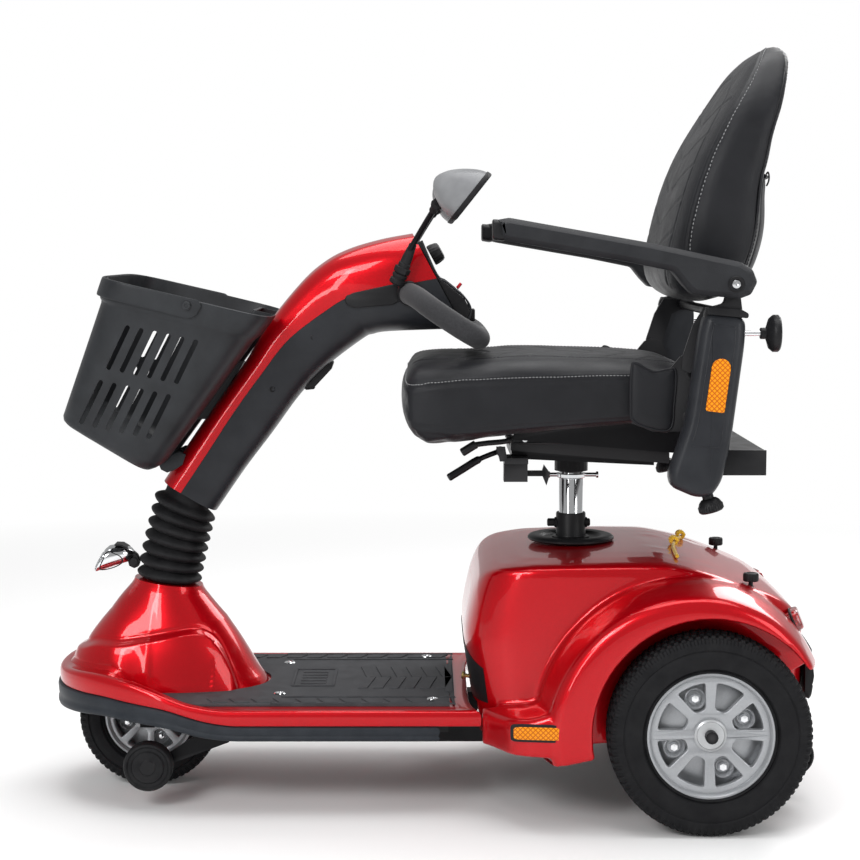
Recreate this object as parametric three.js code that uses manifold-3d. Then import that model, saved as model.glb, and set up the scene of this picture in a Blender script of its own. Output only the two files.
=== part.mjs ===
// Three-wheeled mobility scooter: pan and shrouds over a steel frame, folding tiller, swivel seat.
// Millimetres, +Z up. The front points to -X, +Y is the rider's right, the floor is Z = 0.
import * as THREE from 'three';
import { mergeVertices } from 'three/addons/utils/BufferGeometryUtils.js';
import Module from 'manifold-3d';

// ---------------------------------------------------------------- driving dimensions
const GAP = 0.35;
const REAR_AXLE = [414, 153];
const REAR_WHEEL = { radius: 153, width: 76, rim: 94, y: 278 };
const FRONT_AXLE = [-459, 115];
const FRONT_WHEEL = { radius: 115, width: 76, rim: 71 };
const STEER_RAKE = Math.atan2(31, 222);
const TILLER_PIVOT = [-419, 400];
const DECK_TOP = 168;
const DECK_HALF = 213;
const PAN_WALL = 5;
const SHROUD_WALL = 4;
const POST_X = 227;
const POST_RADIUS = 19.5;
const RAIL_SLOPE = -0.0826;
const ARM_PIVOT = [441, 821];
const ARM_Y = [254, 306];

const RED = { color: 0xa8141c, roughness: 0.22, metalness: 0.25 };
const SHELL_GREY = { color: 0x3b3d42, roughness: 0.5, metalness: 0.0 };
const BLACK_PLASTIC = { color: 0x1c1d1f, roughness: 0.5, metalness: 0.0 };
const RUBBER = { color: 0x161617, roughness: 0.85, metalness: 0.0 };
const STEEL_BLACK = { color: 0x141415, roughness: 0.4, metalness: 0.4 };
const CHROME = { color: 0xd9dbde, roughness: 0.12, metalness: 1.0 };
const ALLOY = { color: 0xb4b7ba, roughness: 0.35, metalness: 0.7 };
const VINYL = { color: 0x2e3136, roughness: 0.55, metalness: 0.0 };
const FOAM = { color: 0x3c3d40, roughness: 0.8, metalness: 0.0 };
const LENS_RED = { color: 0xb01010, roughness: 0.15, metalness: 0.0 };
const CORD_YELLOW = { color: 0xd9a21c, roughness: 0.8, metalness: 0.0 };
const WHEEL_SIDES = 26;

// ---------------------------------------------------------------- helpers
const wasm = await Module();
wasm.setup();
const scooter = new THREE.Group();

function toSolid(geometry) {
  const bare = geometry.clone();
  bare.deleteAttribute('normal');
  bare.deleteAttribute('uv');
  const merged = mergeVertices(bare, 1e-3);
  return new wasm.Manifold(new wasm.Mesh({
    numProp: 3,
    vertProperties: new Float32Array(merged.attributes.position.array),
    triVerts: new Uint32Array(merged.index.array),
  }));
}

function toGeometry(solid) {
  const mesh = solid.getMesh();
  const geometry = new THREE.BufferGeometry();
  geometry.setAttribute('position', new THREE.BufferAttribute(new Float32Array(mesh.vertProperties), 3));
  geometry.setIndex(new THREE.BufferAttribute(new Uint32Array(mesh.triVerts), 1));
  return geometry;
}

function asSolid(shape) {
  return shape.isBufferGeometry ? toSolid(shape) : shape;
}

function join(...shapes) {
  return shapes.map(asSolid).reduce((sum, next) => sum.add(next));
}

function cut(base, ...tools) {
  return tools.map(asSolid).reduce((left, tool) => left.subtract(tool), asSolid(base));
}

function add(name, shape, look, parent = scooter) {
  const geometry = shape.isBufferGeometry ? shape : toGeometry(shape);
  const mesh = new THREE.Mesh(geometry, new THREE.MeshStandardMaterial(look));
  mesh.name = name;
  parent.add(mesh);
  return mesh;
}

// A closed body from rings of points. `tube` also joins the last ring to the first one.
function skin(rings, tube = false) {
  const count = rings[0].length;
  const positions = rings.flat(2);
  const faces = [];
  const last = tube ? rings.length : rings.length - 1;
  for (let r = 0; r < last; r += 1) {
    const next = (r + 1) % rings.length;
    for (let i = 0; i < count; i += 1) {
      const j = (i + 1) % count;
      faces.push([r * count + i, r * count + j, next * count + j]);
      faces.push([r * count + i, next * count + j, next * count + i]);
    }
  }
  if (!tube) {
    for (const r of [0, rings.length - 1]) {
      const centre = [0, 1, 2].map((k) => rings[r].reduce((sum, p) => sum + p[k], 0) / count);
      const tip = positions.length / 3;
      positions.push(...centre);
      for (let i = 0; i < count; i += 1) {
        const j = (i + 1) % count;
        const face = [r * count + i, tip, r * count + j];
        faces.push(r === 0 ? face : face.reverse());
      }
    }
  }
  let volume = 0;
  const corner = (k) => new THREE.Vector3(positions[3 * k], positions[3 * k + 1], positions[3 * k + 2]);
  for (const [a, b, c] of faces) {
    volume += corner(a).dot(corner(b).cross(corner(c)));
  }
  const order = volume < 0 ? faces.map((face) => face.reverse()) : faces;
  const geometry = new THREE.BufferGeometry();
  geometry.setAttribute('position', new THREE.BufferAttribute(new Float32Array(positions), 3));
  geometry.setIndex(order.flat());
  return geometry;
}

// Closed body from C-shaped rings: sides between rings, and strips at the two ends.
function skinOpen(rings, count) {
  const positions = rings.flat(2);
  const faces = [];
  for (let r = 0; r < rings.length - 1; r += 1) {
    for (let i = 0; i < count; i += 1) {
      const j = (i + 1) % count;
      faces.push([r * count + i, r * count + j, (r + 1) * count + j]);
      faces.push([r * count + i, (r + 1) * count + j, (r + 1) * count + i]);
    }
  }
  for (const r of [0, rings.length - 1]) {
    for (let i = 0; i < count / 2 - 1; i += 1) {
      const a = r * count + i;
      const b = a + 1;
      const d = r * count + (count - 1 - i);
      const c = d - 1;
      const pair = [[a, c, b], [a, d, c]];
      pair.forEach((face) => faces.push(r === 0 ? face : face.slice().reverse()));
    }
  }
  const corner = (k) => new THREE.Vector3(positions[3 * k], positions[3 * k + 1], positions[3 * k + 2]);
  const volume = faces.reduce((sum, [a, b, c]) => sum + corner(a).dot(corner(b).cross(corner(c))), 0);
  const order = volume < 0 ? faces.map((face) => face.reverse()) : faces;
  const geometry = new THREE.BufferGeometry();
  geometry.setAttribute('position', new THREE.BufferAttribute(new Float32Array(positions), 3));
  geometry.setIndex(order.flat());
  return geometry;
}

function signedPower(value, power) {
  return Math.sign(value) * Math.abs(value) ** power;
}

// Points of a superellipse with half sizes a and b; a higher n is squarer.
function superEllipse(count, a, b, n) {
  return Array.from({ length: count }, (_, i) => {
    const t = ((i + 0.5) * 2 * Math.PI) / count;
    return [a * signedPower(Math.cos(t), 2 / n), b * signedPower(Math.sin(t), 2 / n)];
  });
}

function box(x0, x1, y0, y1, z0, z1) {
  const geometry = new THREE.BoxGeometry(x1 - x0, y1 - y0, z1 - z0);
  return geometry.translate((x0 + x1) / 2, (y0 + y1) / 2, (z0 + z1) / 2);
}

// A cylinder between two points.
function rod(a, b, radius, sides = 12) {
  const from = new THREE.Vector3(...a);
  const to = new THREE.Vector3(...b);
  const along = to.clone().sub(from);
  const geometry = new THREE.CylinderGeometry(radius, radius, along.length(), sides);
  const turn = new THREE.Quaternion().setFromUnitVectors(new THREE.Vector3(0, 1, 0), along.normalize());
  geometry.applyQuaternion(turn);
  return geometry.translate(...from.add(to).multiplyScalar(0.5).toArray());
}

// An outline drawn in X and Z, pulled along Y from y0 to y1, with an optional bevel.
function sidePlate(outline, y0, y1, bevel = 0) {
  const shape = new THREE.Shape(outline.map(([x, z]) => new THREE.Vector2(x, z)));
  const geometry = new THREE.ExtrudeGeometry(shape, {
    depth: y1 - y0 - 2 * bevel,
    bevelEnabled: bevel > 0,
    bevelThickness: bevel,
    bevelSize: bevel,
    bevelOffset: -bevel,
    bevelSegments: 2,
  });
  geometry.rotateX(Math.PI / 2);
  return geometry.translate(0, y1 - bevel, 0);
}

// A tube of the given radius along a smooth curve through the points.
function tube(points, radius, sides, steps, closed = false) {
  const curve = new THREE.CatmullRomCurve3(points.map((p) => new THREE.Vector3(...p)), closed, 'centripetal');
  const ring = superEllipse(sides, radius, radius, 2).map(([a, b]) => new THREE.Vector2(a, b));
  return new THREE.ExtrudeGeometry(new THREE.Shape(ring), { steps, extrudePath: curve, curveSegments: 1 });
}

// A turned body about the Y axis from [radius, y] pairs.
function turned(profile, segments) {
  return new THREE.LatheGeometry(profile.map(([r, y]) => new THREE.Vector2(r, y)), segments);
}

function lerp(a, b, t) {
  return a + (b - a) * t;
}

// Value at x of a line through [x, value] knots.
function along(knots, x) {
  if (x <= knots[0][0]) return knots[0][1];
  for (let i = 1; i < knots.length; i += 1) {
    if (x <= knots[i][0]) {
      const t = (x - knots[i - 1][0]) / (knots[i][0] - knots[i - 1][0]);
      return lerp(knots[i - 1][1], knots[i][1], t);
    }
  }
  return knots[knots.length - 1][1];
}

// ---------------------------------------------------------------- rear shroud surfaces
const SHROUD_FRONT = [[100, 76], [140, 69], [170, 64], [264, 49], [293, 53], [345, 64], [384, 76]];
const SHROUD_REAR = [[100, 580], [272, 584], [292, 583], [330, 572], [384, 540]];
const SHROUD_TOP = [
  [60, 345], [76, 370], [90, 383], [111, 391], [156, 397], [227, 399.5], [300, 401], [361, 400],
  [400, 392], [430, 384], [474, 368], [520, 350], [545, 337], [565, 318], [584, 285],
];

// One level of the shroud's plan: front and rear follow the height, corners are rounded.
function shroudRing(z, inset, scale = 1) {
  const corners = inset > 0 ? 16 : 24;
  const front = along(SHROUD_FRONT, z) + inset;
  const rear = along(SHROUD_REAR, z) - inset;
  const half = lerp(216, 212, Math.min(1, (z - 100) / 290)) - inset;
  const middle = (front + rear) / 2;
  const ring = superEllipse(corners, ((rear - front) / 2) * scale, half * scale, 5.5);
  return ring.map(([x, y]) => [x + middle, y]);
}

function shroudTopAt(x, y) {
  return along(SHROUD_TOP, x) - 5 * Math.abs(y / 205) ** 2.4;
}

function shroudBody(inset, bottom) {
  const levels = [bottom, 170, 264, 310].map((z) => shroudRing(z, inset).map(([x, y]) => [x, y, z]));
  const shoulder = shroudRing(372, inset).map(([x, y]) => (
    [x, y, Math.min(372, shroudTopAt(x, y) - 14) - inset]
  ));
  const upper = [[0.985, 3], [0.95, 0.4], [0.8, 0], [0.5, 0], [0.2, 0]].map(([scale, drop]) => (
    shroudRing(384, inset, scale).map(([x, y]) => [x, y, shroudTopAt(x, y) - drop - inset])
  ));
  return skin([...levels, shoulder, ...upper]);
}

// The wheel arch: sections fanned round the axle, from the sill at the front to the rear corner.
function archBody(side, inset) {
  const [ax, az] = REAR_AXLE;
  const outer = [
    [-12, 243], [8, 243], [25, 236], [45, 228], [65, 220], [85, 212], [105, 205], [125, 197], [150, 184],
  ];
  const rings = outer.map(([degrees, reach]) => {
    const angle = THREE.MathUtils.degToRad(180 - degrees);
    const r = reach - inset;
    const profile = [
      [120, 205], [120, 308 - inset], [r - 26, 308 - inset], [r - 10, 303 - inset],
      [r - 1, 288 - inset], [r + 4, 262], [r + 9, 235], [r + 12, 205],
    ];
    return profile.map(([radial, y]) => [
      ax + radial * Math.cos(angle), side * y, az + radial * Math.sin(angle),
    ]);
  });
  return skin(rings);
}

function sillBody(side, inset) {
  const stations = [
    [78, 216, 168], [100, 250, 170], [118, 284, 172], [150, 298, 176], [205, 305, 196], [262, 308, 200],
  ];
  const rings = stations.map(([x, y, top]) => [
    [x, side * 200, 118 - 2 * inset], [x, side * (y - inset), 118 - 2 * inset],
    [x, side * (y - inset), top - 14 - inset], [x, side * (y - 10 - inset), top - inset],
    [x, side * 200, top + 4 - inset],
  ]);
  return skin(rings);
}

// ---------------------------------------------------------------- chassis
function cylinderY(radius, y0, y1, x, z, sides = 24) {
  return rod([x, y0, z], [x, y1, z], radius, sides);
}

const sides = [-1, 1];
{
  const parts = [];
  for (const s of sides) {
    const [y0, y1] = s < 0 ? [-118, -82] : [82, 118];
    parts.push(box(-326, 540, y0, y1, 96, 128));
    parts.push(box(-330, -306, y0, y1, 96, 162.4));
  }
  for (const x of [-322, -170, 4]) {
    parts.push(box(x, x + 22, -180, 180, 127, 162.4));
  }
  parts.push(box(106, 334, -166, 166, 127, 156));
  parts.push(box(505, 540, -118, 118, 96, 128));
  parts.push(rod([POST_X, 0, 150], [POST_X, 0, 396], 31, 16));
  const gooseneck = [[-318, 0, 140], [-322, 0, 190], [-345, 0, 240], [-392, 0, 285], [-431, 0, 312]];
  parts.push(tube(gooseneck, 13, 10, 10));
  const head = [0, 1].map((t) => {
    const z = lerp(272, 326, t);
    return [FRONT_AXLE[0] + (z - FRONT_AXLE[1]) * Math.tan(STEER_RAKE), 0, z];
  });
  parts.push(rod(head[0], head[1], 21, 16));
  // arms that carry the small anti-tip wheels
  for (const s of sides) {
    parts.push(rod([-441, s * 132, 70], [-441, s * 179, 70], 7, 8));
    parts.push(sidePlate([[-452, 58], [-430, 58], [-318, 100], [-318, 127], [-345, 127]],
      s < 0 ? -138 : 132, s < 0 ? -132 : 138));
    parts.push(box(-340, -318, s < 0 ? -138 : 100, s < 0 ? -100 : 138, 100, 127));
    parts.push(sidePlate([[520, 96], [540, 128], [584, 84], [588, 58], [566, 58]],
      s < 0 ? -98 : 92, s < 0 ? -92 : 98));
    parts.push(rod([575, s * 92, 72], [575, s * 121, 72], 6, 8));
  }
  const bore = rod([POST_X, 0, 158], [POST_X, 0, 420], POST_RADIUS + 0.9, 16);
  const steerBore = rod(
    [head[0][0] - 8 * Math.sin(STEER_RAKE), 0, head[0][2] - 8],
    [head[1][0] + 8 * Math.sin(STEER_RAKE), 0, head[1][2] + 8], 13, 20,
  );
  add('frame', cut(join(...parts), bore, steerBore), STEEL_BLACK);
}

// Plan outline of the pan, walked as one ring. `inset` moves it inwards.
const PAN_POINTS = 50;
function panOutline(inset) {
  const half = DECK_HALF - inset;
  const nose = -603 + inset;
  const points = [];
  const arc = 28;
  for (let i = 0; i < arc; i += 1) {
    const t = lerp(-Math.PI / 2, Math.PI / 2, i / (arc - 1));
    points.push([-330 + (nose + 330) * Math.cos(t) ** 0.85, half * signedPower(Math.sin(t), 0.9)]);
  }
  const straight = [-240, -120, 10];
  straight.forEach((x) => points.push([x, half]));
  const rear = PAN_POINTS - arc - 2 * straight.length;
  for (let i = 0; i < rear; i += 1) {
    const y = lerp(half, -half, i / (rear - 1));
    points.push([rearEdge(y) - inset, y]);
  }
  straight.reverse().forEach((x) => points.push([x, -half]));
  return points;
}

function rearEdge(y) {
  return 58 + 18 * Math.abs(y / 213) ** 5;
}

const CREST = [[-603, 205], [-560, 212], [-526, 214], [-470, 208], [-425, 194], [-381, 177], [-330, 168]];
const SKIRT = [[-603, 181], [-510, 181], [-412, 168], [-352, 150], [-310, 143]];
const STRIP_FOOT = [[-603, 144], [-510, 152], [-412, 141], [-352, 126], [-310, 121]];

function floorHeight(x) {
  const t = Math.min(1, Math.max(0, (-455 - x) / 55));
  return lerp(DECK_TOP, 206, t * t * (3 - 2 * t));
}

// The opening over the front wheel, hidden under the bell.
function wellRing(grow) {
  return panOutline(0).map(([x, y]) => {
    const angle = Math.atan2(y, x + 415);
    return [-415 + (134 + grow) * Math.cos(angle), (93 + grow) * Math.sin(angle)];
  });
}
{
  const outer = panOutline(0);
  const lift = (ring, height) => ring.map(([x, y]) => [x, y, height(x, y)]);
  const crest = outer.map(([x]) => along(CREST, x));
  const skirtInner = panOutline(PAN_WALL);
  const inner14 = panOutline(12);
  const inner26 = panOutline(26);
  const inner20 = panOutline(20);
  const well = wellRing(0);
  const rings = [
    outer.map(([x, y]) => [x, y, along(SKIRT, x) + 1.5]),
    outer.map(([x, y], i) => [x, y, crest[i] - 5]),
    panOutline(4).map(([x, y], i) => [x, y, crest[i]]),
    inner14.map(([x, y], i) => [x, y, crest[i]]),
    inner26.map(([x, y]) => [x, y, floorHeight(x)]),
    lift(well, (x) => floorHeight(x)),
    lift(well, (x) => floorHeight(x) - PAN_WALL),
    inner26.map(([x, y]) => [x, y, floorHeight(x) - PAN_WALL]),
    inner20.map(([x, y], i) => [x, y, Math.min(crest[i], floorHeight(x) + 8) - PAN_WALL - 0.5]),
    skirtInner.map(([x, y], i) => [x, y, crest[i] - 14]),
    skirtInner.map(([x, y]) => [x, y, along(SKIRT, x) + 1.5]),
  ];
  add('deck_pan', skin(rings, true), RED);

  // Rubber bumper moulding along the lower edge of the pan, from one sill round the nose to the other.
  const bulge = panOutline(-3.5);
  const inside = panOutline(7);
  const section = (i) => {
    const top = along(SKIRT, outer[i][0]) + 1.5 - 2 * GAP;
    const foot = along(STRIP_FOOT, outer[i][0]);
    return [
      [...outer[i], top], [...bulge[i], top - 5], [...bulge[i], foot + 4],
      [...outer[i], foot], [...inside[i], foot], [...inside[i], top],
    ];
  };
  const start = outer.length - 3;
  const order = Array.from({ length: 34 }, (_, i) => (start + i) % outer.length);
  add('bumper_strip', skin(order.map(section)), RUBBER);
}

// ---------------------------------------------------------------- bell over the front wheel
const BELL = [
  [169.5, -420, 156, 104], [186, -424, 146, 100], [210, -426, 134, 94], [240, -427, 117, 85],
  [275, -428, 94, 73], [306, -428, 72, 61], [334, -428, 52, 51],
];
function collarLean(x, z) {
  return z - Math.max(0, Math.min(1, (z - 275) / 59)) * (x + 428) * Math.tan(STEER_RAKE);
}
function bellRings(inset) {
  return BELL.map(([z, x, a, b]) => (
    superEllipse(24, a - inset, b - inset, 2.15).map(([u, v]) => [u + x, v, collarLean(u + x, z)])
  ));
}
{
  // The front of the bell stops on the raised nose, its back and sides on the floor mat.
  const seat = (x) => floorHeight(x) + GAP + (x < -450 ? 5.6 : 0);
  const outer = bellRings(0);
  const inner = bellRings(4).reverse();
  const foot = (ring) => ring.map(([x, y, z]) => [x, y, Math.max(z, seat(x) + (z - 169.5))]);
  outer[0] = foot(outer[0]);
  outer[1] = foot(outer[1]);
  outer[2] = foot(outer[2]);
  inner[inner.length - 1] = foot(inner[inner.length - 1]);
  inner[inner.length - 2] = foot(inner[inner.length - 2]);
  inner[inner.length - 3] = foot(inner[inner.length - 3]);
  const collar = superEllipse(24, 30, 30, 2).map(([u, v]) => [u - 428, v, collarLean(u - 428, 334)]);
  const collarBelow = collar.map(([x, y, z]) => [x, y, z - 4]);
  inner[0] = inner[0].map(([x, y, z]) => [x, y, z - 4]);
  add('front_shroud', skin([...outer, collar, collarBelow, ...inner], true), RED);
}

// Ribbed rubber mat on the floor, cut round the bell.
{
  const rim = panOutline(30).filter(([x]) => x > -440);
  const outline = rim.map(([x, y]) => new THREE.Vector2(Math.min(x, 42), y));
  const shape = new THREE.Shape(outline);
  const mat = new THREE.ExtrudeGeometry(shape, { depth: 3.6, bevelEnabled: false });
  mat.translate(0, 0, DECK_TOP + GAP);
  const bell = skin([150, 190].map((z) => (
    superEllipse(40, 157.5, 105.5, 2.15).map(([u, v]) => [u - 420, v, z])
  )));
  add('floor_mat', cut(mat, bell), RUBBER);
}

// ---------------------------------------------------------------- rear shroud
const TAIL_LIGHT = { x: 562, y: 176, z: 300 };
function tailLight(side, grow) {
  const ring = superEllipse(16, 13 + grow, 27 + grow, 4);
  const rings = [[-12 - grow, 1], [9 + grow, 1], [14 + grow, 0.8]].map(([u, scale]) => (
    ring.map(([v, w]) => [u, w * scale, v * scale])
  ));
  const lamp = skin(rings);
  lamp.rotateY(-0.42);
  lamp.rotateZ(side * 0.18);
  return lamp.translate(TAIL_LIGHT.x, side * TAIL_LIGHT.y, TAIL_LIGHT.z);
}
{
  let outer = join(shroudBody(0, 118));
  let inner = join(shroudBody(SHROUD_WALL, 90));
  for (const s of sides) {
    outer = join(outer, archBody(s, 0), sillBody(s, 0));
    const pocket = join(archBody(s, SHROUD_WALL), sillBody(s, SHROUD_WALL));
    inner = join(inner, cut(pocket, box(0, 700, s < 0 ? -219 : 100, s < 0 ? -100 : 219, 80, 420)));
  }
  let shell = cut(outer, inner);
  for (const s of sides) {
    const [y0, y1] = s < 0 ? [-330, -219] : [219, 330];
    shell = cut(shell, cylinderY(175, y0, y1, REAR_AXLE[0], REAR_AXLE[1], 24));
    shell = cut(shell, box(350, 480, s < 0 ? -240 : 190, s < 0 ? -190 : 240, 90, 215));
    shell = cut(shell, tailLight(s, 0.5));
    shell = cut(shell, box(REAR_AXLE[0], 640, y0, y1, 60, 250));
    shell = cut(shell, rod([491, s * 178, 330], [491, s * 178, 400], 5.5, 8));
  }
  shell = cut(shell, rod([POST_X, 0, 380], [POST_X, 0, 420], 45, 20));
  shell = cut(shell, box(40, 74, -150, 150, 90, DECK_TOP + 1), box(40, 90, -122, 122, 90, 129));
  shell = cut(shell, box(570, 600, -60, 60, 90, 150));
  const bodies = shell.decompose().sort((a, b) => b.volume() - a.volume());
  add('rear_shroud', bodies[0], RED);

  for (const s of sides) {
    const name = s < 0 ? 'left' : 'right';
    add(`tail_light_${name}`, tailLight(s, 0), LENS_RED);
    const seat = shroudTopAt(478, 178) + 0.6;
    const knob = join(
      rod([491, s * 178, seat], [491, s * 178, seat + 13], 12, 14),
      rod([491, s * 178, 345], [491, s * 178, seat + 1], 3.5, 8),
    );
    add(`shroud_knob_${name}`, knob, BLACK_PLASTIC);
  }
}

// Bumper across the back.
{
  const stations = [-168, -160, -110, 0, 110, 160, 168].map((y) => {
    const end = Math.abs(y) > 165 ? 0.7 : 1;
    const back = 598 - 0.00028 * y * y;
    return [
      [back - 12, y, 212 - 34 * end], [back - 3, y, 212 - 38 * end], [back, y, 212 - 26 * end],
      [back + 4, y, 212], [back, y, 212 + 26 * end], [back - 3, y, 212 + 38 * end],
      [back - 12, y, 212 + 34 * end],
    ];
  });
  add('rear_bumper', skin(stations), BLACK_PLASTIC);
}

// ---------------------------------------------------------------- drive and battery
{
  const [ax, az] = REAR_AXLE;
  add('drive_unit', join(
    cylinderY(21, -226, 226, ax, az, 16),
    cylinderY(9.5, -316, 316, ax, az, 12),
    cylinderY(52, -58, 34, ax, az + 30, 20),
    rod([ax + 30, 70, az + 24], [ax + 150, 70, az + 24], 44, 20),
    box(ax - 40, ax + 50, 20, 92, az - 22, az + 50),
  ), STEEL_BLACK);
  add('battery_pack', join(
    box(108, 192, -166, 166, 156.4, 300),
    box(262, 332, -166, 166, 156.4, 300),
    box(190, 264, -166, -40, 156.4, 300),
    box(190, 264, 40, 166, 156.4, 300),
  ), BLACK_PLASTIC);
}

// ---------------------------------------------------------------- seat post parts on the chassis
{
  const dish = turned([
    [20.4, 396.6], [24, 396.6], [24, 401.6], [69, 401.6], [70, 405], [64, 410], [50, 410], [46, 404],
    [24, 404], [24, 446], [20.4, 446], [20.4, 396.6],
  ], 18);
  dish.rotateX(Math.PI / 2);
  dish.translate(POST_X, 0, 0);
  const socket = join(
    dish,
    rod([POST_X - 38, 0, 429], [POST_X + 30, 0, 429], 7, 8),
    rod([POST_X - 42, 0, 429], [POST_X - 36, 0, 429], 9, 6),
  );
  const bore = rod([POST_X, 0, 380], [POST_X, 0, 460], POST_RADIUS + 0.9, 16);
  add('post_socket', cut(socket, bore), BLACK_PLASTIC);
}

// ---------------------------------------------------------------- wheels
function tyre(radius, rim, width) {
  const half = width / 2;
  const profile = [
    [rim, -half * 0.68], [rim + (radius - rim) * 0.45, -half], [radius - 10, -half * 0.94],
    [radius - 1, -half * 0.66], [radius, -half * 0.3], [radius, half * 0.3], [radius - 1, half * 0.66],
    [radius - 10, half * 0.94], [rim + (radius - rim) * 0.45, half], [rim, half * 0.68], [rim, -half * 0.68],
  ];
  // The flats of the turned ring, not its corners, lie on the stated radius, and one flat faces the floor.
  const round = 1 / Math.cos(Math.PI / WHEEL_SIDES);
  const ring = turned(profile.map(([r, y]) => [r * (r > rim + 1 ? round : 1), y]), WHEEL_SIDES);
  return ring.rotateY(Math.PI / WHEEL_SIDES);
}

// Spoked wheel. `outward` is the side of the hub cap.
function rimBody(radius, width, spokes, outward) {
  const half = width / 2;
  const barrel = turned([
    [radius - 0.4, -half * 0.6], [radius - 0.4, half * 0.6], [radius - 5, half * 0.66],
    [radius - 11, half * 0.6], [radius - 11, -half * 0.6], [radius - 0.4, -half * 0.6],
  ], WHEEL_SIDES).rotateY(Math.PI / WHEEL_SIDES);
  const hub = turned([
    [0, -half * 0.5], [22, -half * 0.5], [24, half * 0.4], [20, half * 0.52], [0, half * 0.55],
  ], 12);
  let wheel = join(barrel, hub);
  for (let i = 0; i < spokes; i += 1) {
    const shape = [[16, -9], [radius - 6, -7], [radius - 6, 7], [16, 9]];
    const outline = new THREE.Shape(shape.map(([a, b]) => new THREE.Vector2(a, b)));
    const spoke = new THREE.ExtrudeGeometry(outline, { depth: 14, bevelEnabled: false });
    spoke.rotateX(-Math.PI / 2);
    spoke.translate(0, half * 0.14, 0);
    spoke.rotateY((i + 0.5) * ((2 * Math.PI) / spokes));
    wheel = wheel.add(toSolid(spoke));
  }
  return outward < 0 ? wheel.mirror([0, 1, 0]) : wheel;
}

for (const s of sides) {
  const name = s < 0 ? 'left' : 'right';
  const wheel = new THREE.Group();
  wheel.position.set(REAR_AXLE[0], s * REAR_WHEEL.y, REAR_AXLE[1]);
  scooter.add(wheel);
  add(`rear_tyre_${name}`, tyre(REAR_WHEEL.radius, REAR_WHEEL.rim, REAR_WHEEL.width), RUBBER, wheel);
  const bore = rod([0, -60, 0], [0, 60, 0], 10.2, 12);
  add(`rear_rim_${name}`, cut(rimBody(REAR_WHEEL.rim, REAR_WHEEL.width, 8, s), bore), ALLOY, wheel);
}
{
  const wheel = new THREE.Group();
  wheel.position.set(FRONT_AXLE[0], 0, FRONT_AXLE[1]);
  scooter.add(wheel);
  add('front_tyre', tyre(FRONT_WHEEL.radius, FRONT_WHEEL.rim, FRONT_WHEEL.width), RUBBER, wheel);
  const bore = rod([0, -60, 0], [0, 60, 0], 8.2, 12);
  add('front_rim', cut(rimBody(FRONT_WHEEL.rim, FRONT_WHEEL.width, 8, -1), bore), ALLOY, wheel);
}
for (const s of sides) {
  const name = s < 0 ? 'left' : 'right';
  const small = turned([[7.6, -13], [33, -13], [38.5, -9], [38.5, 9], [33, 13], [7.6, 13], [7.6, -13]], 16);
  add(`antitip_wheel_front_${name}`, small, RUBBER).position.set(-441, s * 166, 70);
  const rear = turned([[6.6, -10], [27, -10], [31.5, -7], [31.5, 7], [27, 10], [6.6, 10], [6.6, -10]], 16);
  add(`antitip_wheel_rear_${name}`, rear, RUBBER).position.set(575, s * 111, 72);
}

// ---------------------------------------------------------------- steering fork
function onSteerAxis(z) {
  return [FRONT_AXLE[0] + (z - FRONT_AXLE[1]) * Math.tan(STEER_RAKE), 0, z];
}
{
  const arms = sides.map((s) => {
    const [y0, y1] = s < 0 ? [-54, -46] : [46, 54];
    return sidePlate([[-471, 102], [-447, 102], [-428, 246], [-458, 246]], y0, y1);
  });
  const fork = join(
    ...arms,
    rod([FRONT_AXLE[0], -58, FRONT_AXLE[1]], [FRONT_AXLE[0], 58, FRONT_AXLE[1]], 7.6, 12),
    box(-458, -428, -54, 54, 240, 250),
    rod(onSteerAxis(245), onSteerAxis(374), 12, 16),
    sidePlate([[-430, 360], [-414, 360], [-407, 400], [-412, 409], [-426, 409], [-431, 400]], -8, 8),
  );
  const pinHole = cylinderY(5.6, -20, 20, TILLER_PIVOT[0], TILLER_PIVOT[1], 12);
  add('front_fork', cut(fork, pinHole), STEEL_BLACK);
}

// ---------------------------------------------------------------- bellows between bell and tiller
{
  const folds = 6;
  const rings = [];
  const centreAt = (t) => [lerp(-428.2, -398, t ** 1.15), lerp(334.8, 464, t)];
  const leanAt = (t) => lerp(STEER_RAKE, 0.44, t ** 1.1);
  const ringAt = (t, radius) => {
    const [cx, cz] = centreAt(t);
    const lean = leanAt(t);
    return superEllipse(16, radius, radius, 2).map(([u, v]) => (
      [cx + u * Math.cos(lean), v, cz - u * Math.sin(lean)]
    ));
  };
  for (let i = 0; i <= 2 * folds; i += 1) {
    rings.push(ringAt(i / (2 * folds), i % 2 === 0 ? 43 : 53));
  }
  for (let i = 2 * folds; i >= 0; i -= 1) {
    rings.push(ringAt(i / (2 * folds), i % 2 === 0 ? 39 : 49));
  }
  add('boot', skin(rings, true), RUBBER);
}

// ---------------------------------------------------------------- tiller
{
  const ears = sides.map((s) => {
    const [y0, y1] = s < 0 ? [-15, -8.6] : [8.6, 15];
    return sidePlate([[-430, 392], [-418, 388], [-407, 393], [-386, 440], [-404, 448]], y0, y1);
  });
  const spine = [
    [-390, 0, 452], [-355, 0, 520], [-298, 0, 606], [-224, 0, 702], [-150, 0, 776], [-38, 0, 808],
  ];
  add('tiller_mast', join(
    ...ears,
    cylinderY(5.1, -19, 19, TILLER_PIVOT[0], TILLER_PIVOT[1], 12),
    rod([-401, 0, 428], [-384, 0, 466], 16, 14),
    tube(spine, 14, 8, 10),
    cylinderY(9, -72, 72, -42, 807, 10),
  ), STEEL_BLACK);
}

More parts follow.
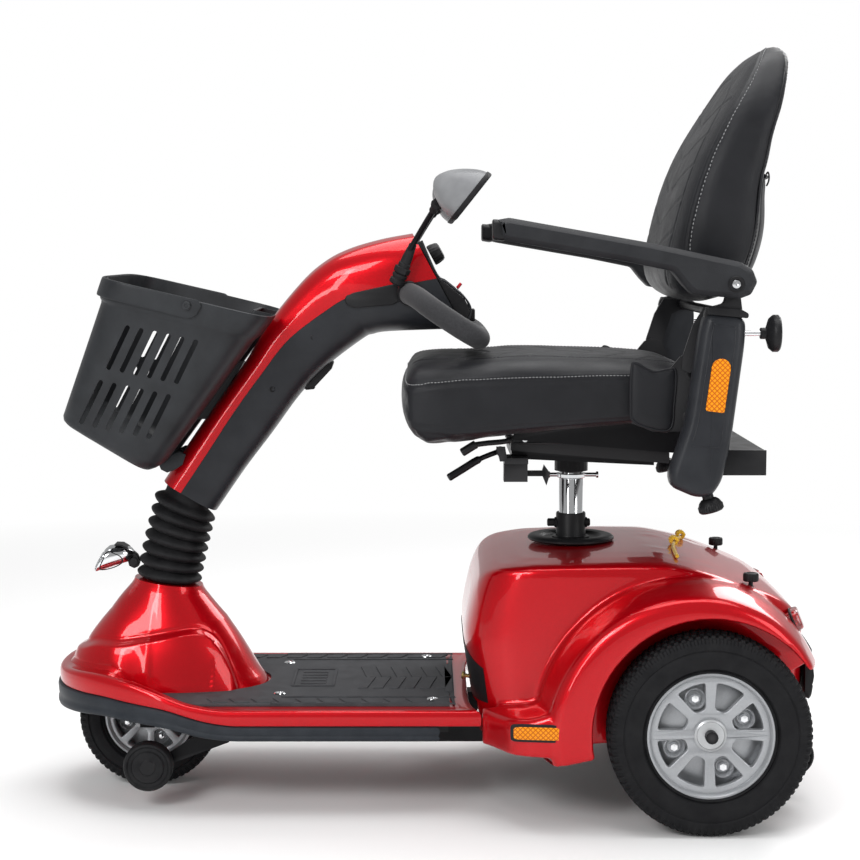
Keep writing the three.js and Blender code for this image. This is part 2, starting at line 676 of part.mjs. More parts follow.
// Stations along the tiller: front edge x and z, depth direction x and z,
// depth of the red half, whole depth, half width.
const TILLER = [
  [-417, 498, 0.857, -0.515, 30, 82, 47],
  [-378, 563, 0.857, -0.515, 31, 90, 50],
  [-338, 628, 0.857, -0.515, 31, 97, 53],
  [-298, 693, 0.84, -0.543, 34, 102, 57],
  [-259, 758, 0.777, -0.629, 44, 117, 63],
  [-208, 821, 0.731, -0.682, 63, 135, 72],
  [-170, 854, 0.55, -0.835, 70, 141, 79],
  [-131, 874, 0.4, -0.917, 78, 146, 84],
  [-80, 889, 0.375, -0.927, 80, 158, 87],
  [-35, 896, 0.476, -0.879, 82, 174, 86],
];
const WRAP = 8;
function tillerArc(station, kind, inset) {
  const [x, z, nx, nz, split, depth, half] = station;
  const points = [];
  for (let i = 0; i <= WRAP; i += 1) {
    const t = lerp(-Math.PI / 2, Math.PI / 2, i / WRAP);
    const y = (half - inset) * signedPower(Math.sin(t), 0.6);
    const swell = Math.abs(Math.cos(t)) ** 0.6;
    const d = kind === 'red'
      ? split - (split - inset) * swell
      : split + GAP + (depth - inset - split - GAP) * swell;
    points.push([x + nx * d, y, z + nz * d]);
  }
  return points;
}
const COVERS = [['tiller_front_cover', 'red', RED], ['tiller_rear_cover', 'grey', SHELL_GREY]];
for (const [name, kind, look] of COVERS) {
  const rings = TILLER.map((station) => (
    [...tillerArc(station, kind, 0), ...tillerArc(station, kind, 3.5).reverse()]
  ));
  // A C-shaped section has no middle point on itself, so the two ends close as strips.
  const count = 2 * (WRAP + 1);
  const open = skinOpen(rings, count);
  add(name, open, look);
}

// Dash closing the upper end of the tiller, with the display pod below it.
{
  const face = sidePlate([
    [-25, 884], [-14, 884], [9, 829], [24, 817], [52, 794], [62, 775], [54, 751], [46, 751], [5, 826],
  ], -76, 76, 2);
  const shaft = rod([-14, 30, 830], [30, 30, 856], 4.2, 10);
  const keyway = rod([25.3, -20, 790], [44.3, -20, 813.2], 3.4, 8);
  add('console', cut(face, shaft, keyway), BLACK_PLASTIC);
  const dashUp = new THREE.Vector3(0.879, 0, 0.476);
  const knobAt = new THREE.Vector3(-5, 30, 858);
  const end = knobAt.clone().addScaledVector(dashUp, 24);
  const start = knobAt.clone().addScaledVector(dashUp, 5);
  add('speed_knob', rod(start.toArray(), end.toArray(), 17, 16), BLACK_PLASTIC);
}

// Closed hand loop of foam covered tube.
{
  const loop = [];
  const quarter = [
    [-36, 93, 803], [-22, 128, 797], [4, 163, 779], [42, 176, 754], [68, 158, 738], [74, 110, 734],
  ];
  quarter.forEach(([x, y, z]) => loop.push([x, -y, z]));
  quarter.slice().reverse().forEach((p) => loop.push(p));
  add('handlebar', tube(loop, 17, 8, 32), FOAM);
}

// ---------------------------------------------------------------- basket
const BASKET_FLOOR = [[-579, 604], [-427, 527]];
const BASKET_RIM = [[-497, 829], [-250, 768]];
function basketRing(t, grow, rise) {
  const frontX = lerp(BASKET_FLOOR[0][0], BASKET_RIM[0][0], t) - grow;
  const frontZ = lerp(BASKET_FLOOR[0][1], BASKET_RIM[0][1], t) + rise;
  const rearX = lerp(BASKET_FLOOR[1][0], BASKET_RIM[1][0], t) + grow;
  const rearZ = lerp(BASKET_FLOOR[1][1], BASKET_RIM[1][1], t) + rise;
  const half = lerp(160, 190, t) + grow;
  return superEllipse(20, 0.5, half, 6).map(([u, y]) => (
    [lerp(frontX, rearX, u + 0.5), y, lerp(frontZ, rearZ, u + 0.5)]
  ));
}
{
  const outside = skin([
    basketRing(0, -10, 0), basketRing(0.05, 0, 0), basketRing(0.86, 0, 0), basketRing(0.87, 5, 0),
    basketRing(0.99, 6, 0), basketRing(1, 4, 0),
  ]);
  const inside = skin([basketRing(0.03, -12, 2), basketRing(0.08, -4, 0), basketRing(1.02, -2, 0)]);
  const slots = [];
  for (const [low, high] of [[0.2, 0.44], [0.54, 0.78]]) {
    for (let i = 0; i < 6; i += 1) {
      const u = 0.17 + i * 0.125;
      const point = (t, w) => {
        const edge = (k, axis) => lerp(BASKET_FLOOR[k][axis], BASKET_RIM[k][axis], t);
        return [0, 1].map((axis) => lerp(edge(0, axis), edge(1, axis), w));
      };
      const quad = [point(low, u), point(low, u + 0.055), point(high, u + 0.055), point(high, u)];
      slots.push(sidePlate(quad, -230, 230));
    }
  }
  for (let i = 0; i < 6; i += 1) {
    const y = -105 + i * 37;
    const z0 = 645;
    slots.push(box(-590, -480, y, y + 14, z0, z0 + 60));
    slots.push(box(-580, -470, y, y + 14, z0 + 78, z0 + 130));
  }
  // The back wall is set in along the middle, where the tiller stands.
  const channel = (depth, half) => sidePlate([
    [-430, 472], [-201, 783],
    [-226 - 0.806 * depth, 801 + 0.592 * depth], [-455 - 0.806 * depth, 490 + 0.592 * depth],
  ], -half, half);
  const tub = cut(outside, channel(26, 62), cut(inside, channel(30, 66)), ...slots);
  add('basket', tub, SHELL_GREY);

  // Folding carry handle that lies forward along the rim, hinged near the middle of both sides.
  const bow = [
    [-372, -201, 786], [-410, -201, 800], [-470, -200, 822], [-502, -172, 834], [-508, -90, 837],
    [-509, 0, 837],
    [-508, 90, 837], [-502, 172, 834], [-470, 200, 822], [-410, 201, 800], [-372, 201, 786],
  ];
  add('basket_handle', tube(bow, 3.6, 6, 22), SHELL_GREY);
}
{
  const outline = [[-357, 600], [-302.5, 690], [-338.5, 690], [-404, 600]];
  add('basket_bracket', sidePlate(outline, -28, 28), STEEL_BLACK);
}

// Charger inlet under the tiller.
{
  const outline = [[-201, 645], [-192, 636], [-180, 639], [-153, 668], [-150, 678], [-159, 687]];
  add('charger_socket', sidePlate(outline, -17, 17, 2), BLACK_PLASTIC);
}

// ---------------------------------------------------------------- mirrors
for (const s of sides) {
  const name = s < 0 ? 'left' : 'right';
  const stem = join(
    rod([-52, s * 104, 824], [-40, s * 108, 852], 11, 12),
    tube([[-44, s * 107, 846], [-32, s * 114, 872], [-18, s * 135, 896], [6, s * 188, 935]], 4.6, 8, 8),
  );
  add(`mirror_stem_${name}`, stem, BLACK_PLASTIC);
  const centre = new THREE.Vector3(60, s * 222, 949);
  const depth = new THREE.Vector3(-0.78, 0, 0.62);
  const up = new THREE.Vector3(0.62, 0, 0.78);
  const shells = [[0, 42, 60], [3, 43, 61], [18, 40, 56], [36, 31, 44], [50, 20, 29], [58, 9, 13]];
  const rings = shells.map(([d, a, b]) => superEllipse(18, a, b, 2.2).map(([u, v]) => {
    const p = centre.clone().addScaledVector(depth, d).addScaledVector(up, u - d * 0.18);
    return [p.x, p.y + v - s * d * 0.28, p.z];
  }));
  add(`mirror_head_${name}`, skin(rings), SHELL_GREY);
}

// ---------------------------------------------------------------- headlight
{
  // Rings square to the leaning face: [x, z, half height, half width].
  const face = [0.455, 0.89];
  const stations = [
    [-485.5, 372, 5, 6], [-490, 373.5, 11, 15], [-502, 374.5, 17, 23], [-518, 372.5, 21.5, 27.5],
    [-534.5, 369.5, 24, 29], [-537, 368.8, 22, 27],
  ];
  const shell = skin(stations.map(([x, z, tall, wide]) => superEllipse(18, tall, wide, 2.6).map(([u, y]) => (
    [x + face[0] * u, y, z + face[1] * u]
  ))));
  const lamp = join(
    shell,
    rod([-484, -10, 364], [-484, 10, 364], 8, 12),
    box(-500, -482, -5, 5, 358, 374),
  );
  add('headlight', lamp, CHROME);
}

// ---------------------------------------------------------------- seat
{
  add('seat_post', rod([POST_X, 0, 300], [POST_X, 0, 514], POST_RADIUS, 20), CHROME);

  const deckLine = (x) => 549.4 + RAIL_SLOPE * (x - POST_X);
  const hub = turned([[0, 514.4], [27, 514.4], [27, 545], [0, 545]], 24);
  hub.rotateX(Math.PI / 2);
  hub.translate(POST_X, 0, 0);
  const deck = [
    [126, deckLine(126) - 14], [350, deckLine(350) - 6], [350, deckLine(350)], [126, deckLine(126)],
  ];
  add('swivel_base', join(
    hub,
    sidePlate(deck, -96, 96),
    box(113, 150, -122, -94, 510, 550),
    box(150, 178, -114, -102, 518, 526),
    sidePlate([[176, 536], [186, 522], [180, 503], [172, 522]], -112, -104),
    box(113, 150, -139, -80, 540, 549),
    sidePlate([[100, 567], [114, 567], [118, 544], [106, 544]], -139, -135),
  ), STEEL_BLACK);
}
{
  const railTop = (x) => 580 + RAIL_SLOPE * (x - 127);
  const railFoot = (x) => railTop(x) - 22;
  const rail = [[124, railFoot(124)], [372, railFoot(372)], [372, railTop(372)], [124, railTop(124)]];
  const parts = [];
  for (const s of sides) {
    const [y0, y1] = s < 0 ? [-112, -88] : [88, 112];
    parts.push(sidePlate(rail, y0, y1));
    const [b0, b1] = s < 0 ? [-236, -230.5] : [230.5, 236];
    parts.push(sidePlate([
      [300, 612], [330, 600], [404, 600], [410, 690], [400, 712], [384, 718], [370, 712], [352, 690],
      [330, 686], [302, 700],
    ], b0, b1));
  }
  const seatPan = [[128, 576], [404, 553], [404, 608], [372, 608], [284, 603], [204, 592], [128, 584]];
  parts.push(sidePlate(seatPan, -118, 118));
  parts.push(box(372, 404, -236, 236, 600, 608));
  parts.push(box(402, 422, -60, 60, 545, 573));
  parts.push(box(420, 497, -251.6, 251.6, 537, 573));
  add('seat_frame', join(...parts), STEEL_BLACK);
}

const CUSHION = [
  [-45, 620, 668, 196], [-40, 596, 688, 212], [-26, 580, 700, 222], [12, 579, 705, 228], [70, 585, 706, 229],
  [130, 592, 711, 229], [200, 599, 714, 229], [270, 606, 713, 229], [330, 611, 710, 228],
  [370, 611, 706, 224], [392, 616, 698, 214], [398, 630, 684, 204],
];
{
  const rings = CUSHION.map(([x, low, high, half]) => {
    const mid = (low + high) / 2;
    return superEllipse(20, half, (high - low) / 2, 4.2).map(([y, z]) => {
      const dish = z > 0 ? 5 * (1 - (Math.abs(y) / half) ** 2) : 0;
      return [x, y, mid + z - dish];
    });
  });
  add('seat_cushion', skin(rings), VINYL);
}

const BACKREST = [
  [398, 788, 448, 800, 150], [362, 806, 476, 822, 190], [347, 838, 495, 858, 212], [349, 886, 506, 904, 220],
  [360, 934, 508, 950, 222], [377, 986, 513, 998, 222], [396, 1028, 520, 1040, 218],
  [424, 1076, 533, 1086, 208], [452, 1115, 541, 1124, 190], [482, 1156, 546, 1158, 160],
  [506, 1178, 543, 1176, 122], [522, 1185, 536, 1183, 70],
];
{
  const rings = BACKREST.map(([fx, fz, rx, rz, half]) => (
    superEllipse(20, 1, 1, 3.4).map(([u, v]) => {
      const w = (u + 1) / 2;
      const hollow = u < 0 ? 9 * (1 - v * v) : 0;
      return [lerp(fx, rx, w) + hollow, v * half, lerp(fz, rz, w)];
    })
  ));
  add('backrest_cushion', skin(rings), VINYL);

  const parts = [];
  for (const s of sides) {
    const [y0, y1] = s < 0 ? [-242, -236.5] : [236.5, 242];
    parts.push(sidePlate([
      [372, 694], [384, 688], [398, 696], [418, 760], [446, 772], [446, 784], [404, 786], [388, 760],
      [374, 716],
    ], y0, y1));
  }
  parts.push(rod([436, -238, 776], [436, 238, 776], 8, 12));
  add('backrest_frame', join(...parts), STEEL_BLACK);
}

// ---------------------------------------------------------------- armrests
for (const s of sides) {
  const name = s < 0 ? 'left' : 'right';
  const span = (a, b) => (s < 0 ? [-b, -a] : [a, b]);
  const panel = sidePlate([
    [400, 779], [460, 773], [459, 734], [441, 590], [428, 530], [413, 508], [390, 506], [353, 522],
    [349, 540], [374, 617], [393, 753],
  ], ...span(252, 292), 5);
  const ear = [[424, 774], [458, 772], [456, 822], [448, 834], [434, 834], [426, 822]];
  const tongue = sidePlate(ear, ...span(268, 276));
  const pin = cylinderY(6, ...span(261, 283), ...ARM_PIVOT, 12);
  const bore = rod([455, s * 262, 748], [495, s * 262, 747], 5.4, 8);
  const lowBore = rod([403, s * 262, 530], [415, s * 262, 490], 5.4, 8);
  add(`armrest_panel_${name}`, cut(join(panel, tongue, pin), bore, lowBore), SHELL_GREY);

  const pad = sidePlate([
    [95, 914], [99, 887], [112, 883], [276, 855], [350, 840], [366, 820], [380, 806], [448, 800], [464, 806],
    [473, 824], [466, 842], [448, 853], [315, 881], [112, 917],
  ], ...span(ARM_Y[0] - 2, ARM_Y[1]), 4);
  const notch = box(394, 490, ...span(267.4, 276.6), 780, 870);
  const pinHole = cylinderY(6.5, ...span(256, 288), ...ARM_PIVOT, 12);
  add(`armrest_pad_${name}`, cut(pad, notch, pinHole), SHELL_GREY);

  add(`armrest_knob_${name}`, join(
    rod([464, s * 262, 748], [486, s * 262, 747.4], 4.8, 8),
    rod([484, s * 262, 747.4], [508, s * 262, 746.7], 26, 14),
  ), BLACK_PLASTIC);
  add(`width_knob_${name}`, join(
    rod([404.5, s * 262, 525], [413, s * 262, 496.7], 4.8, 8),
    rod([412.6, s * 262, 498], [417.4, s * 262, 482], 19, 12),
  ), BLACK_PLASTIC);
}

// ---------------------------------------------------------------- levers and keys
{
  add('swivel_lever', join(
    rod([107, -124, 559], [70, -142, 546], 4, 8),
    rod([74, -140, 548], [26, -152, 520], 5.6, 10),
    rod([107, -134.6, 559], [107, -115, 559], 6, 10),
  ), STEEL_BLACK);
  add('slide_lever', join(
    rod([120, -121, 580], [120, -175, 580], 4.5, 8),
    rod([121, -172, 580], [62, -172, 573], 4, 8),
    rod([66, -172, 574], [46, -172, 561], 6.5, 10),
  ), BLACK_PLASTIC);
  add('throttle_lever', join(
    rod([-4, 100, 776], [12, 128, 768], 5, 8),
    rod([10, 122, 769], [30, 138, 750], 6.5, 10),
  ), BLACK_PLASTIC);
  add('power_key', join(
    rod([31.6, -20, 797.7], [41.2, -20, 809.4], 3, 8),
    rod([40, -20, 807.9], [44.5, -20, 813.4], 8, 10),
  ), { color: 0x9c1220, roughness: 0.4, metalness: 0.0 });
}

// Pull cord lying across the shroud.
{
  const route = [
    [381, -150, 396.8], [384, -90, 398], [388, -50, 397.8], [394, -10, 396.8], [402, 30, 394.8],
    [411, 65, 392.2], [424, 125, 386.5],
  ];
  add('pull_cord', tube(route, 2.6, 8, 14), CORD_YELLOW);
}

export default scooter;
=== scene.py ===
import math

import bmesh
import bpy
import numpy as np
from mathutils import Matrix, Vector


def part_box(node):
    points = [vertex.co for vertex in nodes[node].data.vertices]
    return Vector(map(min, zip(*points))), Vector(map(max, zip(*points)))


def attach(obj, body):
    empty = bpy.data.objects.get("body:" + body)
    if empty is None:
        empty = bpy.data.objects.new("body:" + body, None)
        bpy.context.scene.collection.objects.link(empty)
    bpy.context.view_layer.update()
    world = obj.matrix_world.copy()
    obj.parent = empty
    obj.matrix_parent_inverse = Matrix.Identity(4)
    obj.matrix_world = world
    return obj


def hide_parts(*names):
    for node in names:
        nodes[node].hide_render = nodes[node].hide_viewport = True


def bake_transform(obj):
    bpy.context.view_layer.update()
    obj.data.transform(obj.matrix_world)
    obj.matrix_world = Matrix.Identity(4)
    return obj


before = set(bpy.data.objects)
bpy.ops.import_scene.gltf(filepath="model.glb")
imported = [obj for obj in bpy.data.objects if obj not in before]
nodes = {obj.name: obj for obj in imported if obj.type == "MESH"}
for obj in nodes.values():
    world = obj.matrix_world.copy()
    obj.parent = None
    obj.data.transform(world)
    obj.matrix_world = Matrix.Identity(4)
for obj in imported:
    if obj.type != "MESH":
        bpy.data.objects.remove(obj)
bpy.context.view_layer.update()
scene = bpy.context.scene
MM = 0.001  # shapes are drawn in millimetres
SIDES = ((-1, "left"), (1, "right"))  # the sign of Y on each of the rider's sides

# ------------------------------------- camera: the photo's own side view, through a long lens
camera_data = bpy.data.cameras.new("camera")
camera_data.lens = 78.91
camera_data.sensor_width = 36.0
camera = bpy.data.objects.new("camera", camera_data)
camera.location = (-0.00607, -3.0406, 0.8734)
camera.rotation_euler = (math.pi / 2 - 0.0963, 0.0, -0.0013)
scene.collection.objects.link(camera)
scene.camera = camera


# ---------------------------------------------------------------- mesh helpers
def lerp(a, b, t):
    return a + (b - a) * t


def smooth_step(t):
    t = max(0.0, min(1.0, t))
    return t * t * (3 - 2 * t)


def along(knots, x):
    """The value at x of a line through (x, value) knots."""
    return float(np.interp(x, [k[0] for k in knots], [k[1] for k in knots]))


def curve_through(points, steps, closed=False):
    """Points on a smooth curve through the given ones, with `steps` to each stretch."""
    p = np.array(points, float)
    count = len(p)
    line = []
    for i in range(count if closed else count - 1):
        if closed:
            a, b, c, d = (p[(i + k) % count] for k in (-1, 0, 1, 2))
        else:
            a, b, c, d = p[max(i - 1, 0)], p[i], p[i + 1], p[min(i + 2, count - 1)]
        for k in range(steps):
            t = k / steps
            line.append(0.5 * ((2 * b) + (c - a) * t + (2 * a - 5 * b + 4 * c - d) * t ** 2
                               + (3 * b - 3 * c + d - a) * t ** 3))
    if not closed:
        line.append(p[-1])
    return np.array(line)


def even(points, count, closed=True):
    """The same outline again with evenly spaced points."""
    p = np.array(points, float)
    if closed:
        p = np.vstack([p, p[:1]])
    steps = np.linalg.norm(np.diff(p, axis=0), axis=1)
    length = np.concatenate([[0], np.cumsum(steps)])
    at = np.linspace(0, length[-1], count + 1 if closed else count)
    if closed:
        at = at[:-1]
    return np.stack([np.interp(at, length, p[:, k]) for k in range(p.shape[1])], axis=1)


def super_ellipse(count, a, b, n):
    """Points round an ellipse that squares off as n grows past 2."""
    t = (np.arange(count) + 0.5) * 2 * math.pi / count
    x = a * np.sign(np.cos(t)) * np.abs(np.cos(t)) ** (2 / n)
    y = b * np.sign(np.sin(t)) * np.abs(np.sin(t)) ** (2 / n)
    return np.stack([x, y], axis=1)


def skin(rings, tube=False, caps=True, open_ring=False):
    """Vertices and faces of a body skinned over rings of points."""
    count = len(rings[0])
    verts = [tuple(p) for ring in rings for p in ring]
    faces = []
    for r in range(len(rings) if tube else len(rings) - 1):
        n = (r + 1) % len(rings)
        for i in range(count - 1 if open_ring else count):
            j = (i + 1) % count
            faces.append((r * count + i, r * count + j, n * count + j, n * count + i))
    if caps and not tube:
        faces.append(tuple(range(count - 1, -1, -1)))
        faces.append(tuple((len(rings) - 1) * count + i for i in range(count)))
    return verts, faces


def make(name, verts, faces, scale=MM):
    """A mesh object from points in millimetres, with its normals facing outwards."""
    mesh = bpy.data.meshes.new(name)
    mesh.from_pydata([tuple(float(c) * scale for c in v) for v in verts], [], faces)
    obj = bpy.data.objects.new(name, mesh)
    scene.collection.objects.link(obj)
    tidy(obj)
    return obj


def tidy(obj):
    """Welds doubled points and turns the normals outwards."""
    work = bmesh.new()
    work.from_mesh(obj.data)
    bmesh.ops.remove_doubles(work, verts=work.verts, dist=1e-6)
    bmesh.ops.recalc_face_normals(work, faces=work.faces)
    work.to_mesh(obj.data)
    work.free()


def smooth(obj, degrees=40):
    """Smooth shading, with creases sharper than the angle kept."""
    mesh = obj.data
    mesh.polygons.foreach_set("use_smooth", [True] * len(mesh.polygons))
    if degrees < 180:
        mesh.set_sharp_from_angle(angle=math.radians(degrees))


def apply_modifiers(obj):
    """Replaces the mesh by what its modifiers make of it."""
    graph = bpy.context.evaluated_depsgraph_get()
    graph.update()
    made = bpy.data.meshes.new_from_object(obj.evaluated_get(graph))
    obj.modifiers.clear()
    old = obj.data
    obj.data = made
    made.name = obj.name
    bpy.data.meshes.remove(old)
    return obj


def modify(obj, kind, **values):
    """Adds a modifier with these settings and applies it."""
    mod = obj.modifiers.new(kind.lower(), kind)
    for key, value in values.items():
        setattr(mod, key, value)
    return apply_modifiers(obj)


def bevel(obj, width, segments=3, angle=35):
    """Rounds the edges that are sharper than the angle."""
    mod = obj.modifiers.new("bevel", "BEVEL")
    mod.width = width * MM
    mod.segments = segments
    mod.limit_method = "ANGLE"
    mod.angle_limit = math.radians(angle)


def boolean(obj, other, operation="DIFFERENCE"):
    """Cuts or joins another body, which is then removed."""
    modify(obj, "BOOLEAN", operation=operation, solver="MANIFOLD", object=other)
    bpy.data.objects.remove(other)


def subdivide(obj):
    return modify(obj, "SUBSURF", levels=1, render_levels=1)


def thicken(obj, thickness):
    """Gives a sheet its thickness, inwards from the drawn face."""
    return modify(obj, "SOLIDIFY", thickness=thickness * MM, offset=-1.0)


def remesh(obj, size):
    return modify(obj, "REMESH", mode="VOXEL", voxel_size=size * MM)


def coordinates(obj):
    """The points of a mesh in metres, one row each."""
    points = np.empty(len(obj.data.vertices) * 3, np.float32)
    obj.data.vertices.foreach_get("co", points)
    return points.reshape(-1, 3).astype(float)


def set_coordinates(obj, points):
    obj.data.vertices.foreach_set("co", np.asarray(points, np.float32).ravel())
    obj.data.update()


def join_objects(name, objs):
    """One object from several, in one mesh."""
    work = bmesh.new()
    for o in objs:
        copy = o.data.copy()
        copy.transform(o.matrix_world)
        work.from_mesh(copy)
        bpy.data.meshes.remove(copy)
    mesh = bpy.data.meshes.new(name)
    work.to_mesh(mesh)
    work.free()
    for o in objs:
        bpy.data.objects.remove(o)
    joined = bpy.data.objects.new(name, mesh)
    scene.collection.objects.link(joined)
    return joined


def side_plate(name, outline, y0, y1, round_edge=0.0, segments=3):
    """A plate drawn in X and Z and pulled along Y, with rounded edges."""
    rings = [[(x, y, z) for x, z in outline] for y in (y0, y1)]
    obj = make(name, *skin(rings))
    if round_edge:
        bevel(obj, round_edge, segments, 25)
        apply_modifiers(obj)
    return obj


def box(name, low, high, round_edge=0.0, segments=3):
    """A box between two corners, with rounded edges."""
    (x0, y0, z0), (x1, y1, z1) = low, high
    rings = [[(x0, y0, z), (x1, y0, z), (x1, y1, z), (x0, y1, z)] for z in (z0, z1)]
    obj = make(name, *skin(rings))
    if round_edge:
        bevel(obj, round_edge, segments)
        apply_modifiers(obj)
    return obj


def frame_of(axis):
    """Two directions square to the axis."""
    axis = Vector(axis).normalized()
    helper = Vector((0, 1, 0)) if abs(axis.y) < 0.9 else Vector((1, 0, 0))
    u = axis.cross(helper).normalized()
    return u, axis.cross(u).normalized()


def lathe(name, profile, origin, axis, segments=48, wave=None):
    """A body turned about an axis from (radius, height) pairs; wave may change a radius."""
    u, v = frame_of(axis)
    axis = Vector(axis).normalized()
    origin = Vector(origin)
    rings = []
    for r, h in profile:
        ring = []
        for i in range(segments):
            t = 2 * math.pi * i / segments
            reach = wave(t, r, h) if wave else r
            ring.append(tuple(origin + axis * h + (u * math.cos(t) + v * math.sin(t)) * reach))
        rings.append(ring)
    if max(abs(a - b) for a, b in zip(profile[0], profile[-1])) < 1e-9:
        return make(name, *skin(rings[:-1], tube=True))
    return make(name, *skin(rings))


def cylinder(name, origin, axis, radius, low, high, segments=96):
    """A plain cylinder, for cutting holes."""
    return lathe(name, [(radius, low), (radius, high)], origin, axis, segments)


def tube(name, points, radius, sides=16, steps=8, closed=False, smooth_path=True):
    """A round tube along a path; radius is a number or a function of the share of the way."""
    path = curve_through(points, steps, closed) if smooth_path else np.array(points, float)
    count = len(path)
    rings = []
    normal = None
    for i in range(count):
        ahead = path[(i + 1) % count] if closed or i < count - 1 else path[i]
        behind = path[i - 1] if closed or i > 0 else path[i]
        tangent = Vector(ahead - behind).normalized()
        if normal is None:
            normal, _ = frame_of(tangent)
        normal = (normal - tangent * normal.dot(tangent)).normalized()
        side = tangent.cross(normal)
        r = radius(i / (count - 1)) if callable(radius) else radius
        ring = []
        for k in range(sides):
            t = 2 * math.pi * k / sides
            ring.append(tuple(Vector(path[i]) + (normal * math.cos(t) + side * math.sin(t)) * r))
        rings.append(ring)
    return make(name, *skin(rings, tube=closed))


def place(obj, body, material, slot, replaces=(), degrees=40):
    """Finishes a piece: shading, material, body and the nodes that it stands for; the slot is not used."""
    if obj.type == "MESH":
        smooth(obj, degrees)
    obj.data.materials.clear()
    obj.data.materials.append(material)
    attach(obj, body)
    if replaces:
        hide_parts(*replaces)
    return obj


# ---------------------------------------------------------------- material helpers
class Finish:
    """A node material: one Principled shader and short names for the nodes around it."""

    def __init__(self, name, colour, roughness, metallic=0.0, **sockets):
        self.material = bpy.data.materials.new(name)
        self.material.use_nodes = True
        self.tree = self.material.node_tree
        self.shader = self.tree.nodes["Principled BSDF"]
        self.shader.inputs["Base Color"].default_value = (*colour, 1.0)
        self.shader.inputs["Roughness"].default_value = roughness
        self.shader.inputs["Metallic"].default_value = metallic
        for key, value in sockets.items():
            self.shader.inputs[key.replace("_", " ")].default_value = value
        self.place = self.tree.nodes.new("ShaderNodeTexCoord").outputs["Object"]

    def node(self, kind, **values):
        made = self.tree.nodes.new(kind)
        for key, value in values.items():
            setattr(made, key, value)
        return made

    def link(self, source, target):
        self.tree.links.new(source, target)

    def stretched(self, scale, turn=(0, 0, 0)):
        mapping = self.node("ShaderNodeMapping")
        mapping.inputs["Scale"].default_value = scale
        mapping.inputs["Rotation"].default_value = turn
        self.link(self.place, mapping.inputs["Vector"])
        return mapping.outputs["Vector"]

    def noise(self, scale, detail=3.0, rough=0.55, place=None):
        made = self.node("ShaderNodeTexNoise")
        made.inputs["Scale"].default_value = scale
        made.inputs["Detail"].default_value = detail
        made.inputs["Roughness"].default_value = rough
        self.link(place or self.place, made.inputs["Vector"])
        return made.outputs["Fac"]

    def cells(self, scale, feature="F1", place=None, output="Distance"):
        made = self.node("ShaderNodeTexVoronoi", feature=feature)
        made.inputs["Scale"].default_value = scale
        self.link(place or self.place, made.inputs["Vector"])
        return made.outputs[output]

    def flakes(self, scale):
        """The red, green and blue of cells that have a colour each."""
        split = self.node("ShaderNodeSeparateColor")
        self.link(self.cells(scale, output="Color"), split.inputs["Color"])
        return split.outputs

    def waves(self, scale, axis="X", place=None):
        made = self.node("ShaderNodeTexWave", bands_direction=axis)
        made.inputs["Scale"].default_value = scale
        self.link(place or self.place, made.inputs["Vector"])
        return made.outputs["Fac"]

    def remap(self, value, low, high, to_low=0.0, to_high=1.0):
        made = self.node("ShaderNodeMapRange")
        for key, number in zip(("From Min", "From Max", "To Min", "To Max"), (low, high, to_low, to_high)):
            made.inputs[key].default_value = number
        self.link(value, made.inputs["Value"])
        return made.outputs["Result"]

    def maths(self, kind, a, b):
        made = self.node("ShaderNodeMath", operation=kind)
        for socket, value in zip(made.inputs, (a, b)):
            if isinstance(value, (int, float)):
                socket.default_value = value
            else:
                self.link(value, socket)
        return made.outputs[0]

    def colours(self, share, low, high):
        """The base colour, from low to high; a Mix node has its colours at 6, 7 and output 2."""
        made = self.node("ShaderNodeMix", data_type="RGBA")
        made.inputs[6].default_value = (*low, 1.0)
        made.inputs[7].default_value = (*high, 1.0)
        self.link(share, made.inputs[0])
        self.link(made.outputs[2], self.shader.inputs["Base Color"])

    def roughness(self, share, low, high):
        self.link(self.remap(share, 0.3, 0.7, low, high), self.shader.inputs["Roughness"])

    def bump(self, height, strength, distance, target="Normal", under=None):
        made = self.node("ShaderNodeBump")
        made.inputs["Strength"].default_value = strength
        made.inputs["Distance"].default_value = distance
        self.link(height, made.inputs["Height"])
        if under:
            self.link(under, made.inputs["Normal"])
        self.link(made.outputs["Normal"], self.shader.inputs[target])
        return made.outputs["Normal"]


def candy_red():
    """Red metallic paint under a thick clear coat, with fine flakes and a faint orange peel."""
    f = Finish("candy_red", (0.30, 0.002, 0.006), 0.3, 0.5, Specular_IOR_Level=0.06, Coat_Weight=0.85,
               Coat_IOR=1.38, Coat_Roughness=0.035)
    flakes = f.flakes(2600.0)
    share = f.maths("MULTIPLY_ADD", flakes["Red"], 0.5)
    share.node.inputs[2].default_value = 0.25
    f.colours(share, (0.27, 0.0004, 0.0026), (0.62, 0.0012, 0.008))
    f.roughness(f.noise(5.0, 2.0), 0.27, 0.33)
    f.bump(flakes["Green"], 0.10, 0.00012)
    f.bump(f.noise(140.0, 1.0), 0.06, 0.0004, "Coat Normal")
    return f.material


def moulded_plastic(name, dark, light, roughness, grain=1500.0, depth=0.00012, strength=0.35):
    """Moulded plastic with a fine spark grain and slightly uneven gloss."""
    f = Finish(name, light, roughness, Specular_IOR_Level=0.18)
    broad = f.noise(22.0, 3.0)
    fine = f.noise(grain, 2.0)
    f.colours(f.remap(broad, 0.3, 0.7), dark, light)
    f.roughness(broad, roughness - 0.05, roughness + 0.06)
    f.bump(f.maths("ADD", fine, f.cells(grain * 0.7)), strength, depth)
    return f.material


def rubber(name, dark, light, roughness, scale=420.0):
    """Matte rubber with moulding grain and a trace of bloom."""
    f = Finish(name, light, roughness, Specular_IOR_Level=0.14)
    patches = f.noise(35.0, 5.0, 0.65)
    f.colours(f.remap(patches, 0.35, 0.7), dark, light)
    f.roughness(patches, roughness - 0.06, roughness + 0.08)
    f.bump(f.noise(scale, 4.0), 0.4, 0.0002)
    return f.material


